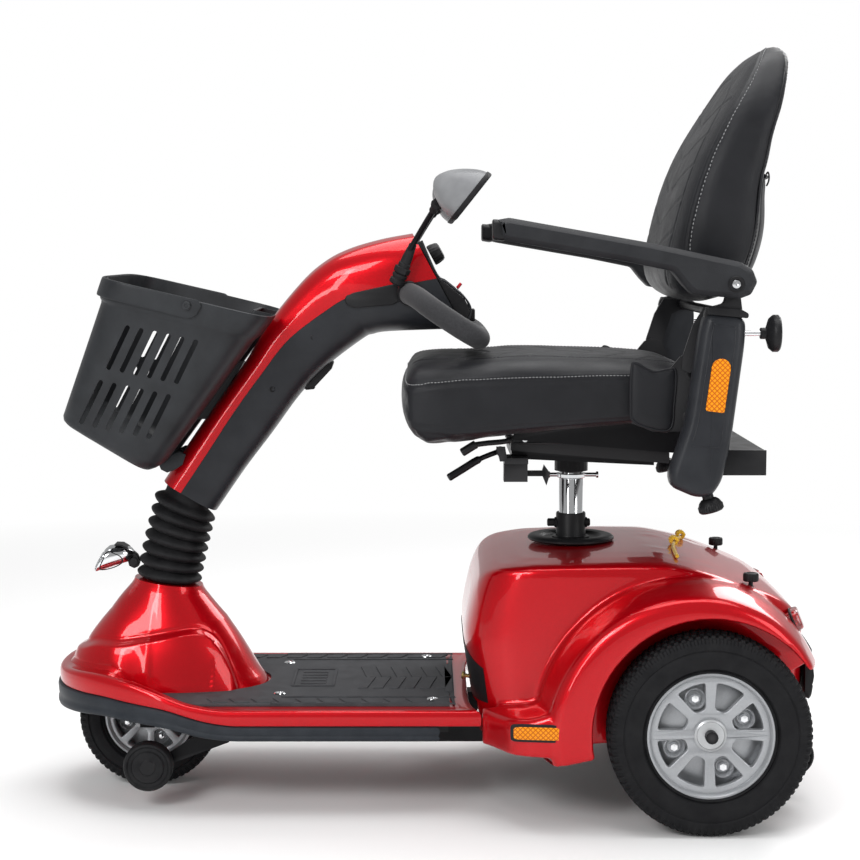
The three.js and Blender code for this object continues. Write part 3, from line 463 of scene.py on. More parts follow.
def powder_coat():
    """Black powder coat on steel, with its fine pebbled skin and a painted highlight along its sharp edges."""
    f = Finish("powder_coat", (0.008, 0.008, 0.009), 0.38, 0.1, Specular_IOR_Level=0.14)
    edge = f.node("ShaderNodeNewGeometry").outputs["Pointiness"]
    # Painted highlight: sharp convex edges, found by pointiness, go from near black to dark grey in the base colour.
    edge_highlight = f.remap(edge, 0.54, 0.62, 0.0, 0.55)
    f.colours(edge_highlight, (0.006, 0.006, 0.007), (0.05, 0.05, 0.052))
    f.roughness(f.noise(30.0, 4.0), 0.30, 0.44)
    f.bump(f.noise(700.0, 2.0), 0.35, 0.0002)
    return f.material


def bright_chrome():
    """Chrome plate with faint polishing lines."""
    f = Finish("bright_chrome", (0.72, 0.73, 0.75), 0.08, 1.0)
    f.roughness(f.noise(60.0, 4.0, place=f.stretched((1, 1, 8))), 0.05, 0.14)
    f.colours(f.noise(14.0, 2.0), (0.66, 0.67, 0.69), (0.78, 0.79, 0.80))
    f.bump(f.noise(420.0, 2.0, place=f.stretched((1, 1, 0.05))), 0.04, 0.0001)
    return f.material


def silver_paint(name="silver_paint", light=(0.37, 0.38, 0.395), dark=(0.29, 0.30, 0.315)):
    """Silver wheel paint: fine flakes under a satin lacquer."""
    f = Finish(name, light, 0.34, 0.5, Specular_IOR_Level=0.3, Coat_Weight=0.3, Coat_Roughness=0.18)
    flakes = f.flakes(2200.0)
    f.colours(flakes["Red"], dark, light)
    f.roughness(f.noise(18.0, 3.0), 0.30, 0.40)
    f.bump(flakes["Green"], 0.08, 0.0001)
    return f.material


def upholstery():
    """Charcoal seat vinyl: leather-like grain, soft creases and a slight uneven sheen."""
    f = Finish("upholstery", (0.015, 0.016, 0.018), 0.48, Specular_IOR_Level=0.19, Sheen_Weight=0.03,
               Sheen_Roughness=0.4)
    broad = f.noise(9.0, 4.0)
    f.colours(f.remap(broad, 0.3, 0.7), (0.007, 0.0073, 0.0088), (0.0125, 0.013, 0.0155))
    f.roughness(f.noise(28.0, 3.0), 0.36, 0.48)
    grain = f.cells(620.0, "DISTANCE_TO_EDGE")
    valleys = f.remap(grain, 0.0, 0.18)
    fine = f.maths("MULTIPLY", f.noise(1500.0, 2.0), 0.4)
    soft = f.bump(f.noise(26.0, 3.0), 0.18, 0.002)
    f.bump(f.maths("ADD", valleys, fine), 0.32, 0.00025, under=soft)
    return f.material


def foam_grip():
    """Dark closed-cell foam with its mottled skin."""
    f = Finish("foam_grip", (0.04, 0.04, 0.043), 0.86, Specular_IOR_Level=0.25, Sheen_Weight=0.15,
               Sheen_Roughness=0.5)
    mottle = f.noise(260.0, 5.0, 0.7)
    f.colours(f.remap(mottle, 0.35, 0.68), (0.019, 0.019, 0.021), (0.034, 0.034, 0.037))
    f.roughness(mottle, 0.78, 0.92)
    f.bump(f.maths("ADD", mottle, f.cells(900.0)), 0.35, 0.0004)
    return f.material


def prism_lens(name, dark, light, scale):
    """Moulded lamp plastic: small prisms under a clear face."""
    f = Finish(name, light, 0.22, 0.0, Coat_Weight=1.0, Coat_Roughness=0.05, Specular_IOR_Level=0.6)
    grid = f.cells(scale)
    f.colours(f.maths("MULTIPLY", f.remap(grid, 0.0, 0.75, 1.0, 0.15), f.flakes(scale)["Red"]), dark, light)
    f.roughness(f.noise(80.0), 0.16, 0.28)
    f.bump(grid, 0.8, 0.0006)
    return f.material


def reflector_film(name, dark, light, scale):
    """Reflecting film with a crossed lattice of seal lines."""
    f = Finish(name, light, 0.28, 0.0, Specular_IOR_Level=0.15, Coat_Weight=0.2, Coat_Roughness=0.08)
    turned = f.stretched((1, 1, 1), (0.0, math.radians(45), 0.0))
    lines = [f.remap(f.waves(scale / 4.4, way, turned), 0.0, 0.45) for way in ("X", "Z")]
    lattice = f.maths("MULTIPLY", *lines)
    f.colours(lattice, dark, light)
    f.roughness(f.noise(80.0), 0.22, 0.32)
    f.bump(lattice, 0.5, 0.0004)
    return f.material


def clear_plastic():
    """Clear lamp glass with shallow flutes."""
    f = Finish("clear_plastic", (0.93, 0.95, 0.96), 0.04, 0.0, IOR=1.46, Transmission_Weight=0.92)
    f.roughness(f.noise(50.0, 3.0), 0.02, 0.07)
    f.bump(f.waves(55.0, "Z"), 0.25, 0.0006)
    return f.material


def mirror_glass():
    f = Finish("mirror_glass", (0.80, 0.82, 0.84), 0.03, 1.0, Coat_Weight=0.6, Coat_Roughness=0.02)
    f.roughness(f.noise(30.0, 4.0), 0.015, 0.05)
    return f.material


def braided_cord():
    """Yellow braid: two sets of slanting strands."""
    f = Finish("braided_cord", (0.62, 0.34, 0.015), 0.8, Sheen_Weight=0.3, Sheen_Roughness=0.5)
    right = f.waves(260.0, "DIAGONAL", place=f.stretched((1, 1, 1)))
    left = f.waves(260.0, "DIAGONAL", place=f.stretched((1, -1, 1)))
    weave = f.maths("MAXIMUM", right, left)
    f.colours(f.remap(weave, 0.4, 1.0), (0.50, 0.25, 0.006), (0.95, 0.60, 0.02))
    f.roughness(f.noise(500.0), 0.72, 0.88)
    f.bump(weave, 0.8, 0.0004)
    return f.material


def sewing_thread():
    f = Finish("sewing_thread", (0.24, 0.245, 0.25), 0.65)
    f.colours(f.noise(900.0), (0.17, 0.172, 0.176), (0.30, 0.305, 0.31))
    f.roughness(f.noise(700.0), 0.55, 0.75)
    f.bump(f.waves(900.0, "DIAGONAL"), 0.5, 0.0002)
    return f.material


def brass():
    f = Finish("brass", (0.52, 0.36, 0.13), 0.3, 1.0)
    f.colours(f.noise(120.0), (0.40, 0.26, 0.09), (0.60, 0.43, 0.17))
    f.roughness(f.noise(200.0), 0.22, 0.42)
    return f.material


RED = candy_red()
SHELL = moulded_plastic("shell_plastic", (0.015, 0.016, 0.019), (0.022, 0.0235, 0.027), 0.34)
BASKET = moulded_plastic("basket_plastic", (0.017, 0.018, 0.020), (0.026, 0.028, 0.031), 0.42)
BLACK = moulded_plastic("black_plastic", (0.007, 0.007, 0.008), (0.012, 0.012, 0.013), 0.40)
PAD_SKIN = moulded_plastic("pad_skin", (0.013, 0.0135, 0.0155), (0.021, 0.022, 0.0245), 0.54, 800.0, 0.0003, 0.6)
MIRROR_SHELL = moulded_plastic("mirror_shell", (0.15, 0.153, 0.16), (0.20, 0.204, 0.21), 0.34)
RUBBER = rubber("soft_rubber", (0.008, 0.008, 0.009), (0.018, 0.018, 0.019), 0.62)
STRIP = rubber("strip_rubber", (0.018, 0.021, 0.026), (0.027, 0.031, 0.037), 0.42)
MAT = rubber("mat_rubber", (0.042, 0.043, 0.047), (0.068, 0.070, 0.075), 0.62, 900.0)
TYRE = rubber("tyre_rubber", (0.005, 0.005, 0.006), (0.011, 0.011, 0.012), 0.62, 600.0)
STEEL = powder_coat()
CHROME = bright_chrome()
SILVER = silver_paint()
CAP_SILVER = silver_paint("cap_silver", (0.47, 0.48, 0.49), (0.40, 0.41, 0.42))
VINYL = upholstery()
FOAM = foam_grip()
RED_LENS = prism_lens("red_lens", (0.16, 0.001, 0.002), (0.70, 0.006, 0.008), 260.0)
AMBER = reflector_film("amber_film", (0.42, 0.10, 0.0), (0.84, 0.27, 0.003), 260.0)
CLEAR = clear_plastic()
GLASS = mirror_glass()
CORD = braided_cord()
THREAD = sewing_thread()
DARK_THREAD = rubber("dark_thread", (0.012, 0.012, 0.014), (0.030, 0.031, 0.035), 0.6, 900.0)
BRASS = brass()
KEY_RED = moulded_plastic("key_red", (0.30, 0.006, 0.012), (0.42, 0.010, 0.018), 0.35)


# ---------------------------------------------------------------- release cord, first of the pieces
CORD_ROUTE = [[381, -150, 396.8], [384, -90, 398], [388, -50, 397.8], [394, -10, 396.8], [402, 30, 394.8],
              [411, 65, 392.2], [424, 125, 386.5]]


def release_cord():
    """The yellow cord that lies over the shroud, with a knot in the middle and one at its far end."""
    route = curve_through(CORD_ROUTE, 8)
    cord = tube("release_cord", CORD_ROUTE, 3.0, sides=16, steps=8)
    place(cord, "chassis", CORD, "cord_yellow", ["pull_cord"], 180)
    knots = []
    for k, share in enumerate((0.52, 0.95)):
        centre = route[int(share * (len(route) - 1))]
        turns = []
        for i in range(60):
            t = i / 59
            angle = 5 * math.pi * t
            turns.append([centre[0] + 5.2 * math.cos(angle), centre[1] + lerp(-8.5, 8.5, t),
                          centre[2] + 3.6 + 5.2 * math.sin(angle)])
        knots.append(tube(f"release_cord_knot_{k + 1}", turns, 2.9, sides=12, smooth_path=False))
        place(knots[-1], "chassis", CORD, "cord_yellow", degrees=180)


release_cord()


# ---------------------------------------------------------------- wheels
REAR_AXLE = (414, 153)
FRONT_AXLE = (-459, 115)
REAR_WHEEL_OUT = 278


def tread_height(angle, across, pitches, half):
    """How far a tread block stands up at a place on the tyre, from 0 to 1."""
    turn = angle * pitches / (2 * math.pi)
    edge = abs(across) / half
    lean = 0.55 * edge * (1 if across > 0 else -1)
    phase = (turn + lean) % 1.0
    if edge < 0.10:
        return 0.0
    if edge < 0.42:
        return 1.0 if 0.22 < (phase + 0.5) % 1.0 < 0.92 else 0.0
    if edge < 0.50:
        return 0.0
    if edge < 0.76:
        return 1.0 if 0.16 < phase < 0.80 else 0.0
    if edge < 0.82:
        return 0.25
    return 1.0 if 0.20 < (phase + 0.12) % 1.0 < 0.74 else 0.0


def tyre_piece(name, node, body, axle, y, radius, rim, width, pitches):
    """Tyre with blocks in the tread, shoulder lugs and a stepped side wall."""
    half = width / 2
    wall = [(rim - 0.3, half * 0.55), (rim, half * 0.72), (rim + 4, half * 0.86), (rim + 6, half * 0.80),
            (rim + 9, half * 0.90), (lerp(rim, radius, 0.42), half * 0.985),
            (lerp(rim, radius, 0.56), half * 0.97), (lerp(rim, radius, 0.60), half * 0.93),
            (lerp(rim, radius, 0.64), half * 0.97)]
    shoulder = [(radius - 13, half * 0.95), (radius - 8.5, half * 0.885), (radius - 5.2, half * 0.80)]
    crown = [(radius - 4.6 + 1.9 * math.cos(u * math.pi / 2), u * half * 0.74) for u in np.linspace(1, -1, 22)]
    profile = wall + shoulder + crown + [(r, -h) for r, h in shoulder[::-1] + wall[::-1]]
    columns = pitches * 6
    step = 2.7
    rings = []
    for r, h in profile:
        ring = []
        for i in range(columns):
            angle = 2 * math.pi * i / columns
            lift = 0.0
            if r > radius - 14:
                lift = step * tread_height(angle, h, pitches, half)
                if r < radius - 9:
                    lift *= 0.8
            lean = 0.0 if abs(h) < half * 0.76 else 0.45 * lift * (1 if h > 0 else -1)
            reach = min(radius - 0.05, r + lift)
            ring.append((axle[0] + reach * math.cos(angle), y + h + lean, axle[1] + reach * math.sin(angle)))
        rings.append(ring)
    place(make(name, *skin(rings, tube=True)), body, TYRE, "tyre", [node], 30)


def disc_with_windows(name, radius, thickness, windows, edge):
    """A flat disc in X and Y with holes, pulled along Z, with rounded edges."""
    curve = bpy.data.curves.new(name, "CURVE")
    curve.dimensions = "2D"
    curve.fill_mode = "BOTH"
    outlines = [[(radius * math.cos(t), radius * math.sin(t)) for t in np.linspace(0, 2 * math.pi, 97)[:-1]]]
    outlines += windows
    for outline in outlines:
        spline = curve.splines.new("POLY")
        spline.points.add(len(outline) - 1)
        for point, (x, y) in zip(spline.points, outline):
            point.co = (x * MM, y * MM, 0.0, 1.0)
        spline.use_cyclic_u = True
    curve.extrude = (thickness / 2 - edge) * MM
    curve.bevel_depth = edge * MM
    curve.bevel_resolution = 2
    curve.offset = -edge * MM
    temp = bpy.data.objects.new(name + "_curve", curve)
    scene.collection.objects.link(temp)
    graph = bpy.context.evaluated_depsgraph_get()
    mesh = bpy.data.meshes.new_from_object(temp.evaluated_get(graph))
    bpy.data.objects.remove(temp)
    obj = bpy.data.objects.new(name, mesh)
    scene.collection.objects.link(obj)
    tidy(obj)
    return obj


def window_outline(inner, outer, middle, narrow, wide, corner):
    """A rounded trapezoid window between two spokes, centred on an angle."""
    a, b = Vector((math.cos(middle), math.sin(middle))), Vector((-math.sin(middle), math.cos(middle)))
    crown = [(outer * math.cos(t), outer * math.sin(t)) for t in np.linspace(-wide / outer, wide / outer, 7)]
    points = [(inner, narrow), *crown[::-1], (inner, -narrow)]
    line = []
    count = len(points)
    for i, p in enumerate(points):
        before, after = Vector(points[i - 1]), Vector(points[(i + 1) % count])
        here = Vector(p)
        turn = (before - here).angle(after - here) if (before - here).length > 1e-6 else math.pi
        if turn > 2.6:
            line.append(here)
            continue
        r = min(corner, (before - here).length * 0.45, (after - here).length * 0.45)
        start = here + (before - here).normalized() * r
        end = here + (after - here).normalized() * r
        for t in np.linspace(0, 1, 5):
            line.append(start * (1 - t) ** 2 + here * 2 * t * (1 - t) + end * t ** 2)
    return [tuple(a * p.x + b * p.y) for p in line]


def on_axle(obj, axle, y, outward):
    """Turns a wheel part drawn in X and Y, its face to +Z, to face outwards at its place."""
    turn = Matrix.Rotation(math.pi / 2 if outward < 0 else -math.pi / 2, 4, "X")
    obj.data.transform(Matrix.Translation(Vector((axle[0], y, axle[1])) * MM) @ turn)


def wheel_piece(label, node, body, axle, y, radius, half, outward, bore):
    """Eight-spoke wheel: dished face with windows, barrel, pockets with lug nuts and a hub cap."""
    def scaled(*pairs):
        """A profile from shares of the wheel's radius and of its half width; 0 is on the axis."""
        return [(max(0.01, radius * a), half * b) for a, b in pairs]

    spokes = 8
    inner, outer, narrow, wide, corner = (radius * share for share in (0.40, 0.84, 0.085, 0.235, 0.07))
    windows = [window_outline(inner, outer, (i + 0.5) * 2 * math.pi / spokes, narrow, wide, corner)
               for i in range(spokes)]
    face = disc_with_windows(label + "_face", radius * 0.965, 13, windows, 2.2)
    dish = coordinates(face)
    reach = np.hypot(dish[:, 0], dish[:, 1]) / (radius * MM)
    dish[:, 2] += (half * 0.42 - 9.0 * np.clip((0.80 - reach) / 0.6, 0, 1) ** 1.5) * MM
    set_coordinates(face, dish)
    on_axle(face, axle, y, outward)
    profile = [(radius - 0.5, -half * 0.70), (radius - 0.5, half * 0.50), (radius + 1.6, half * 0.66),
               (radius + 1.0, half * 0.76), (radius - 2.0, half * 0.78), (radius - 5.0, half * 0.70),
               (radius - 7.0, half * 0.45), (radius - 9.0, half * 0.10), (radius - 9.0, -half * 0.62),
               (radius - 4.0, -half * 0.74), (radius - 0.5, -half * 0.70)]
    origin = (axle[0], y, axle[1])
    way = (0, outward, 0)
    hole = bore / radius
    barrel = lathe(label + "_barrel", profile, origin, way, 96)
    back = lathe(label + "_back", scaled((hole, -0.30), (0.90, -0.30), (0.92, -0.2), (0.70, 0.02), (0.36, 0.06),
                                         (hole, 0.06), (hole, -0.30)), origin, way, 72)
    hub = lathe(label + "_hub", scaled((hole, -0.45), (0.27, -0.45), (0.29, 0.30), (0.27, 0.50), (hole, 0.50),
                                       (hole, -0.45)), origin, way, 48)
    place(join_objects(label, [face, barrel, back, hub]), body, SILVER, "alloy", [node], 35)
    cap = lathe(label + "_cap", scaled((0, 0.46), (0.245, 0.46), (0.262, 0.52), (0.255, 0.60), (0.225, 0.65),
                                       (0.215, 0.62), (0.20, 0.62), (0.12, 0.66), (0, 0.67)), origin, way, 64)
    place(cap, body, CAP_SILVER, "alloy", degrees=30)
    nuts, pockets = [], []
    for i in range(0, spokes, 2):
        middle = (i + 0.5) * 2 * math.pi / spokes
        at = (origin[0] + radius * 0.60 * math.cos(middle), y, origin[2] + radius * 0.60 * math.sin(middle))
        nut = scaled((0, 0), (0.085, 0), (0.085, 0.16), (0.060, 0.23), (0, 0.25))
        nuts.append(lathe(f"{label}_nut_{i}", nut, at, way, 6))
        pocket = scaled((0.10, 0), (0.155, 0), (0.175, 0.22), (0.155, 0.24), (0.12, 0.10), (0.10, 0))
        pockets.append(lathe(f"{label}_pocket_{i}", pocket, at, way, 24))
    place(join_objects(label + "_lug_nuts", nuts), body, CHROME, "chrome", degrees=25)
    place(join_objects(label + "_lug_pockets", pockets), body, SILVER, "alloy")


def wheels():
    for s, side in SIDES:
        body = f"rear_wheel_{side}"
        y = s * REAR_WHEEL_OUT
        tyre_piece(f"rear_tyre_{side}_treaded", f"rear_tyre_{side}", body, REAR_AXLE, y, 153, 94, 76, 84)
        wheel_piece(f"rear_wheel_{side}", f"rear_rim_{side}", body, REAR_AXLE, y, 94, 38, s, 10.2)
    tyre_piece("front_tyre_treaded", "front_tyre", "front_wheel", FRONT_AXLE, 0, 115, 71, 76, 64)
    wheel_piece("front_wheel_alloy", "front_rim", "front_wheel", FRONT_AXLE, 0, 71, 38, -1, 8.2)
    for s, side in SIDES:
        for where, x, y, z, radius, half, bore in (("front", -441, s * 166, 70, 38.5, 13, 7.6),
                                                   ("rear", 575, s * 111, 72, 31.5, 10, 6.6)):
            label = f"antitip_wheel_{where}_{side}"
            face = [(bore, half), (radius * 0.62, half), (radius * 0.68, half * 0.8), (radius * 0.80, half * 0.8),
                    (radius * 0.86, half), (radius * 0.94, half * 0.92), (radius, half * 0.6)]
            profile = [(r, -h) for r, h in face] + face[::-1] + [(bore, -half)]
            body = f"antitip_{where}_{side}"
            roller = lathe(label + "_roller", profile, (x, y, z), (0, 1, 0), 64)
            place(roller, body, RUBBER, "rubber", [label], 30)
            bolt = lathe(label + "_bolt", [(0.01, half * 0.6), (radius * 0.34, half * 0.6), (radius * 0.34, half),
                                           (radius * 0.28, half * 1.14), (0.01, half * 1.14)],
                         (x, y, z), (0, s, 0), 24)
            place(bolt, body, BLACK, "black_plastic", degrees=30)


wheels()


# ---------------------------------------------------------------- floor pan, bumper moulding and mat
DECK_TOP = 168
CREST = [(-603, 205), (-560, 212), (-526, 214), (-470, 208), (-425, 194), (-381, 177), (-330, 168)]
SKIRT = [(-603, 181), (-510, 181), (-412, 168), (-352, 150), (-310, 143)]
STRIP_FOOT = [(-603, 144), (-510, 152), (-412, 141), (-352, 126), (-310, 121)]


def soft_along(knots, x, reach=14):
    """A knot line with its corners eased."""
    return sum(along(knots, x + reach * k) for k in (-1, -0.5, 0, 0.5, 1)) / 5


def rear_edge(y):
    """Where the pan ends under the shroud."""
    return 58 + 18 * abs(y / 213) ** 5


def pan_outline(inset, count=300):
    """The pan from above: a round nose, straight sills and a bowed rear edge."""
    half, nose = 213 - inset, -603 + inset
    points = []
    for t in np.linspace(-math.pi / 2, math.pi / 2, 120):
        points.append([-330 + (nose + 330) * math.cos(t) ** 0.85,
                       half * math.copysign(abs(math.sin(t)) ** 0.9, math.sin(t))])
    points += [[x, half] for x in np.linspace(-320, 10, 30)]
    points += [[rear_edge(y) - inset, y] for y in np.linspace(half, -half, 60)]
    points += [[x, -half] for x in np.linspace(10, -320, 30)]
    return even(points, count)


def floor_height(x):
    """The floor of the pan, which steps up over the front wheel."""
    return lerp(DECK_TOP, 206, smooth_step((-455 - x) / 55))


def floor_pan():
    """A tray with a raised, rounded crest and a well for the bell."""
    outer = pan_outline(0)
    crest = [soft_along(CREST, x) for x, _ in outer]
    skirt = [soft_along(SKIRT, x) + 1.5 for x, _ in outer]

    def ring(inset, height):
        return [(x, y, height(i, x)) for i, (x, y) in enumerate(pan_outline(inset))]

    well = []
    for x, y in outer:
        angle = math.atan2(y, x + 415)
        well.append((-415 + 134 * math.cos(angle), 93 * math.sin(angle)))
    rings = [
        ring(0.6, lambda i, x: skirt[i]),
        ring(0, lambda i, x: skirt[i] + 2),
        ring(-0.4, lambda i, x: lerp(skirt[i], crest[i], 0.5)),
        ring(0, lambda i, x: crest[i] - 6),
        ring(1.4, lambda i, x: crest[i] - 2.4),
        ring(4.5, lambda i, x: crest[i]),
        ring(13, lambda i, x: crest[i]),
        ring(16, lambda i, x: crest[i] - 1.2),
        ring(22, lambda i, x: lerp(crest[i], floor_height(x), 0.8)),
        ring(26, lambda i, x: floor_height(x)),
        [(x, y, floor_height(x)) for x, y in well],
        [(x, y, floor_height(x) - 4.5) for x, y in well],
        ring(26, lambda i, x: floor_height(x) - 4.5),
        ring(14, lambda i, x: min(crest[i], floor_height(x) + 8) - 7),
        ring(5, lambda i, x: crest[i] - 14),
        ring(5, lambda i, x: skirt[i]),
    ]
    pan = make("floor_pan", *skin(rings, tube=True))
    place(pan, "chassis", RED, "red_paint", ["deck_pan"], 50)


def bumper_moulding():
    """Rubber moulding that runs from one sill round the nose to the other."""
    outer = pan_outline(0)
    rows = [(0, 0.0, -0.8), (-2.6, 0.0, -2.6), (-3.5, 0.0, -7), (-2.6, 0.5, 0), (-1.8, 0.62, 0), (-3.3, 0.74, 0),
            (-3.4, 1.0, 5), (-2.2, 1.0, 1.4), (0, 1.0, 0), (7, 1.0, 0), (7, 0.0, -0.8)]
    outlines = [pan_outline(inset) for inset, _, _ in rows]
    keep = [i for i in range(len(outer)) if outer[i][0] < 12]
    start = max(range(len(keep)), key=lambda k: (keep[k] - keep[k - 1]) % len(outer))
    keep = keep[start:] + keep[:start]
    rings = []
    for i in keep:
        top = soft_along(SKIRT, outer[i][0]) + 0.8
        foot = soft_along(STRIP_FOOT, outer[i][0])
        rings.append([(*outline[i], lerp(top, foot, share) + shift)
                      for outline, (_, share, shift) in zip(outlines, rows)])
    strip = make("bumper_moulding", *skin(rings))
    place(strip, "chassis", STRIP, "rubber", ["bumper_strip"], 40)


def raised(outlines, low, high, ease=0.5):
    """Small flat pads with sloping edges from outlines in X and Y."""
    verts, faces = [], []
    for outline in outlines:
        line = np.array(outline, float)
        centre = line.mean(axis=0)
        span = np.linalg.norm(line - centre, axis=1).max()
        first = len(verts)
        count = len(line)
        verts += [(*p, low) for p in line] + [(*(centre + (p - centre) * (1 - ease / span)), high) for p in line]
        for i in range(count):
            j = (i + 1) % count
            faces.append((first + i, first + j, first + count + j, first + count + i))
        faces.append(tuple(first + count + i for i in range(count)))
        faces.append(tuple(first + count - 1 - i for i in range(count)))
    return verts, faces


def floor_mat():
    """Rubber mat with its edge bead, a row of slanting pads down each side and arrow pads in the middle."""
    rim = [p for p in pan_outline(30, 360) if p[0] > -440 and p[0] < 41]
    left = sorted([p for p in rim if p[1] < 0], key=lambda p: p[0])
    right = sorted([p for p in rim if p[1] >= 0], key=lambda p: -p[0])
    outline = left + right
    low, top = DECK_TOP + 0.3, DECK_TOP + 3.4
    base = make("floor_mat_ribbed", *skin([[(x, y, z) for x, y in outline] for z in (low, top)]))
    bell = make("bell_cutter", *skin([[(x - 420, y, z) for x, y in super_ellipse(96, 157.5, 105.5, 2.15)]
                                      for z in (150, 190)]))
    boolean(base, bell)
    shapes = []
    for s in (-1, 1):
        for i in range(11):
            x = -352 + i * 34.5
            shapes.append([(x, s * 148), (x + 24, s * 148), (x + 36, s * 172), (x + 12, s * 172)])
        for start, y in ((-236, 134), (-250, 178)):
            shapes.append([(start, s * y), (38, s * y), (38, s * (y + 3)), (start, s * (y + 3))])
    for i in range(6):
        x = -118 + i * 25
        for y in (-78, 78):
            shapes.append([(x, y), (x + 15, y), (x + 27, 0), (x + 12, 0)])
    bars = [(-226, -156, -62, -58), (-226, -156, 58, 62), (-226, -222, -58, 58), (-160, -156, -58, 58)]
    bars += [(-212, -170, y - 5, y + 5) for y in range(-40, 41, 20)] + [(22, 34, -98, 98)]
    shapes += [[(x0, y0), (x1, y0), (x1, y1), (x0, y1)] for x0, x1, y0, y1 in bars]
    pads = make("mat_pads", *raised(shapes, top - 0.6, top + 1.6, 1.2))
    mat = join_objects("floor_mat_ribbed", [base, pads])
    place(mat, "chassis", MAT, "rubber", ["floor_mat"], 25)
    for k, (x, y) in enumerate(((2, -150), (-8, 160), (-240, -112), (-240, 112))):
        washer = lathe(f"mat_screw_{k + 1}", [(0.01, 0), (9.5, 0), (9.5, 0.8), (8.0, 2.0), (4.6, 2.4), (4.4, 1.2),
                                             (0.01, 1.2)], (x, y, top), (0, 0, 1), 32)
        place(washer, "chassis", CHROME, "chrome", degrees=30)


# ---------------------------------------------------------------- bell over the front wheel
STEER_RAKE = math.atan2(31, 222)
BELL = [(169.5, -420, 156, 104), (186, -424, 146, 100), (210, -426, 134, 94), (240, -427, 117, 85),
        (275, -428, 94, 73), (306, -428, 72, 61), (334, -428, 52, 51)]


def front_bell():
    """The bell at the foot of the tiller, with the wheel cover standing out of it."""
    levels = [b[0] for b in BELL]
    low, high, centre = levels[0], levels[-1], BELL[-1][1]
    heights = np.linspace(low, high, 110)

    def at(z):
        return [float(np.interp(z, levels, [b[k] for b in BELL])) for k in (1, 2, 3)]

    def eased(z):
        samples = [at(min(high, max(low, z + d))) for d in (-12, -6, 0, 6, 12)]
        return [sum(v) / 5 for v in zip(*samples)]

    shoulder = curve_through([(-600, 226), (-560, 236), (-532, 246), (-491, 249), (-453, 255), (-415, 262),
                              (-388, 266), (-368, 264), (-352, 254), (-340, 240), (-327, 216), (-312, 180),
                              (-300, 150)], 6)

    def bulge(x, z):
        """The wheel cover: it stands out of the foot of the bell below a swept shoulder line."""
        drop = float(np.interp(x, shoulder[:, 0], shoulder[:, 1])) - z
        drop *= 1.0 if x < -352 else 0.62
        fall = 1 - 0.45 * smooth_step((drop - 20) / 60)
        return 8.5 * smooth_step((drop + 1) / 9) * fall - 1.2 * math.exp(-((drop + 3.0) / 2.6) ** 2)

    def ring(z, inset=0.0, detail=True):
        x0, a, b = eased(z)
        points = []
        for u, v in even(super_ellipse(480, a - inset, b - inset, 2.15), 240):
            x = u + x0
            lean = max(0.0, min(1.0, (z - 275) / 59)) * (x - centre) * math.tan(STEER_RAKE)
            rest = floor_height(x) + 0.35 + 5.6 * smooth_step((-440 - x) / 12)
            level = rest + (z - low) * (high - rest) / (high - low) - lean
            if detail:
                out = bulge(x, level) * (1 - smooth_step((level - 285) / 20))
                way = Vector((0.75 * u / a, v / b)).normalized()
                out *= smooth_step((-300 - x) / 25)
                x += way.x * out
                v += way.y * out
            points.append((x, v, level))
        return points

    outer = [ring(z) for z in heights]
    inner = [ring(z, 4.0, False) for z in heights[::-4]]
    foot = []
    for x, y, z in outer[0]:
        front = smooth_step((-446 - x) / 26)
        foot.append((x + 0.10 * (x + 424) * front, y * (1 + 0.07 * front), z - 17 * front))
    outer = [foot, *outer]
    collar = [(x + centre, y, high - x * math.tan(STEER_RAKE)) for x, y in even(super_ellipse(240, 30, 30, 2), 240)]
    below = [(x, y, z - 4) for x, y, z in collar]
    inner[0] = [(x, y, z - 4) for x, y, z in inner[0]]
    bell = make("front_bell", *skin([*outer, collar, below, *inner], tube=True))
    place(bell, "chassis", RED, "red_paint", ["front_shroud"], 50)


floor_pan()
bumper_moulding()
floor_mat()
front_bell()


# ---------------------------------------------------------------- rear shroud
SHROUD_FRONT = [(100, 76), (140, 69), (170, 64), (264, 49), (293, 53), (345, 64), (384, 76)]
SHROUD_REAR = [(100, 580), (272, 584), (292, 583), (330, 572), (384, 540)]
SHROUD_TOP = [(60, 345), (76, 370), (90, 383), (111, 391), (156, 397), (227, 399.5), (300, 401), (361, 400),
              (400, 392), (430, 384), (474, 368), (520, 350), (545, 337), (565, 318), (584, 285)]
POST_X = 227


def shroud_ring(z, inset=0.0, scale=1.0, count=260):
    """The outline of the shroud at a height."""
    front = soft_along(SHROUD_FRONT, z) + inset
    rear = soft_along(SHROUD_REAR, z) - inset
    half = lerp(216, 212, min(1, (z - 100) / 290)) - inset
    middle = (front + rear) / 2
    ring = even(super_ellipse(1200, (rear - front) / 2 * scale, half * scale, 5.5), count)
    return [(x + middle, y) for x, y in ring]


def shroud_top(x, y):
    """The height of the lid of the shroud."""
    return soft_along(SHROUD_TOP, x, 9) - 5 * abs(y / 205) ** 2.4


def soft_min(a, b, reach):
    """The lower of two heights, with the corner between them rounded."""
    return (a + b - math.hypot(a - b, reach)) / 2


def shroud_body(name, inset, bottom):
    """Level rings that bend over onto the lid, however high the lid is there."""
    levels = [(1.0, z, z) for z in (*np.linspace(bottom, 345, 36), 358, 366, 373, 380)]
    levels += [(scale, 384, z) for scale, z in (
        (0.992, 388), (0.985, 392), (0.975, 396), (0.95, 402), (0.9, 412), (0.75, 440), (0.55, 500), (0.35, 500),
        (0.15, 500), (0.03, 500))]
    rings = [[(x, y, soft_min(z, shroud_top(x, y) - inset, 12)) for x, y in shroud_ring(level, inset, scale)]
             for scale, level, z in levels]
    return make(name, *skin(rings))


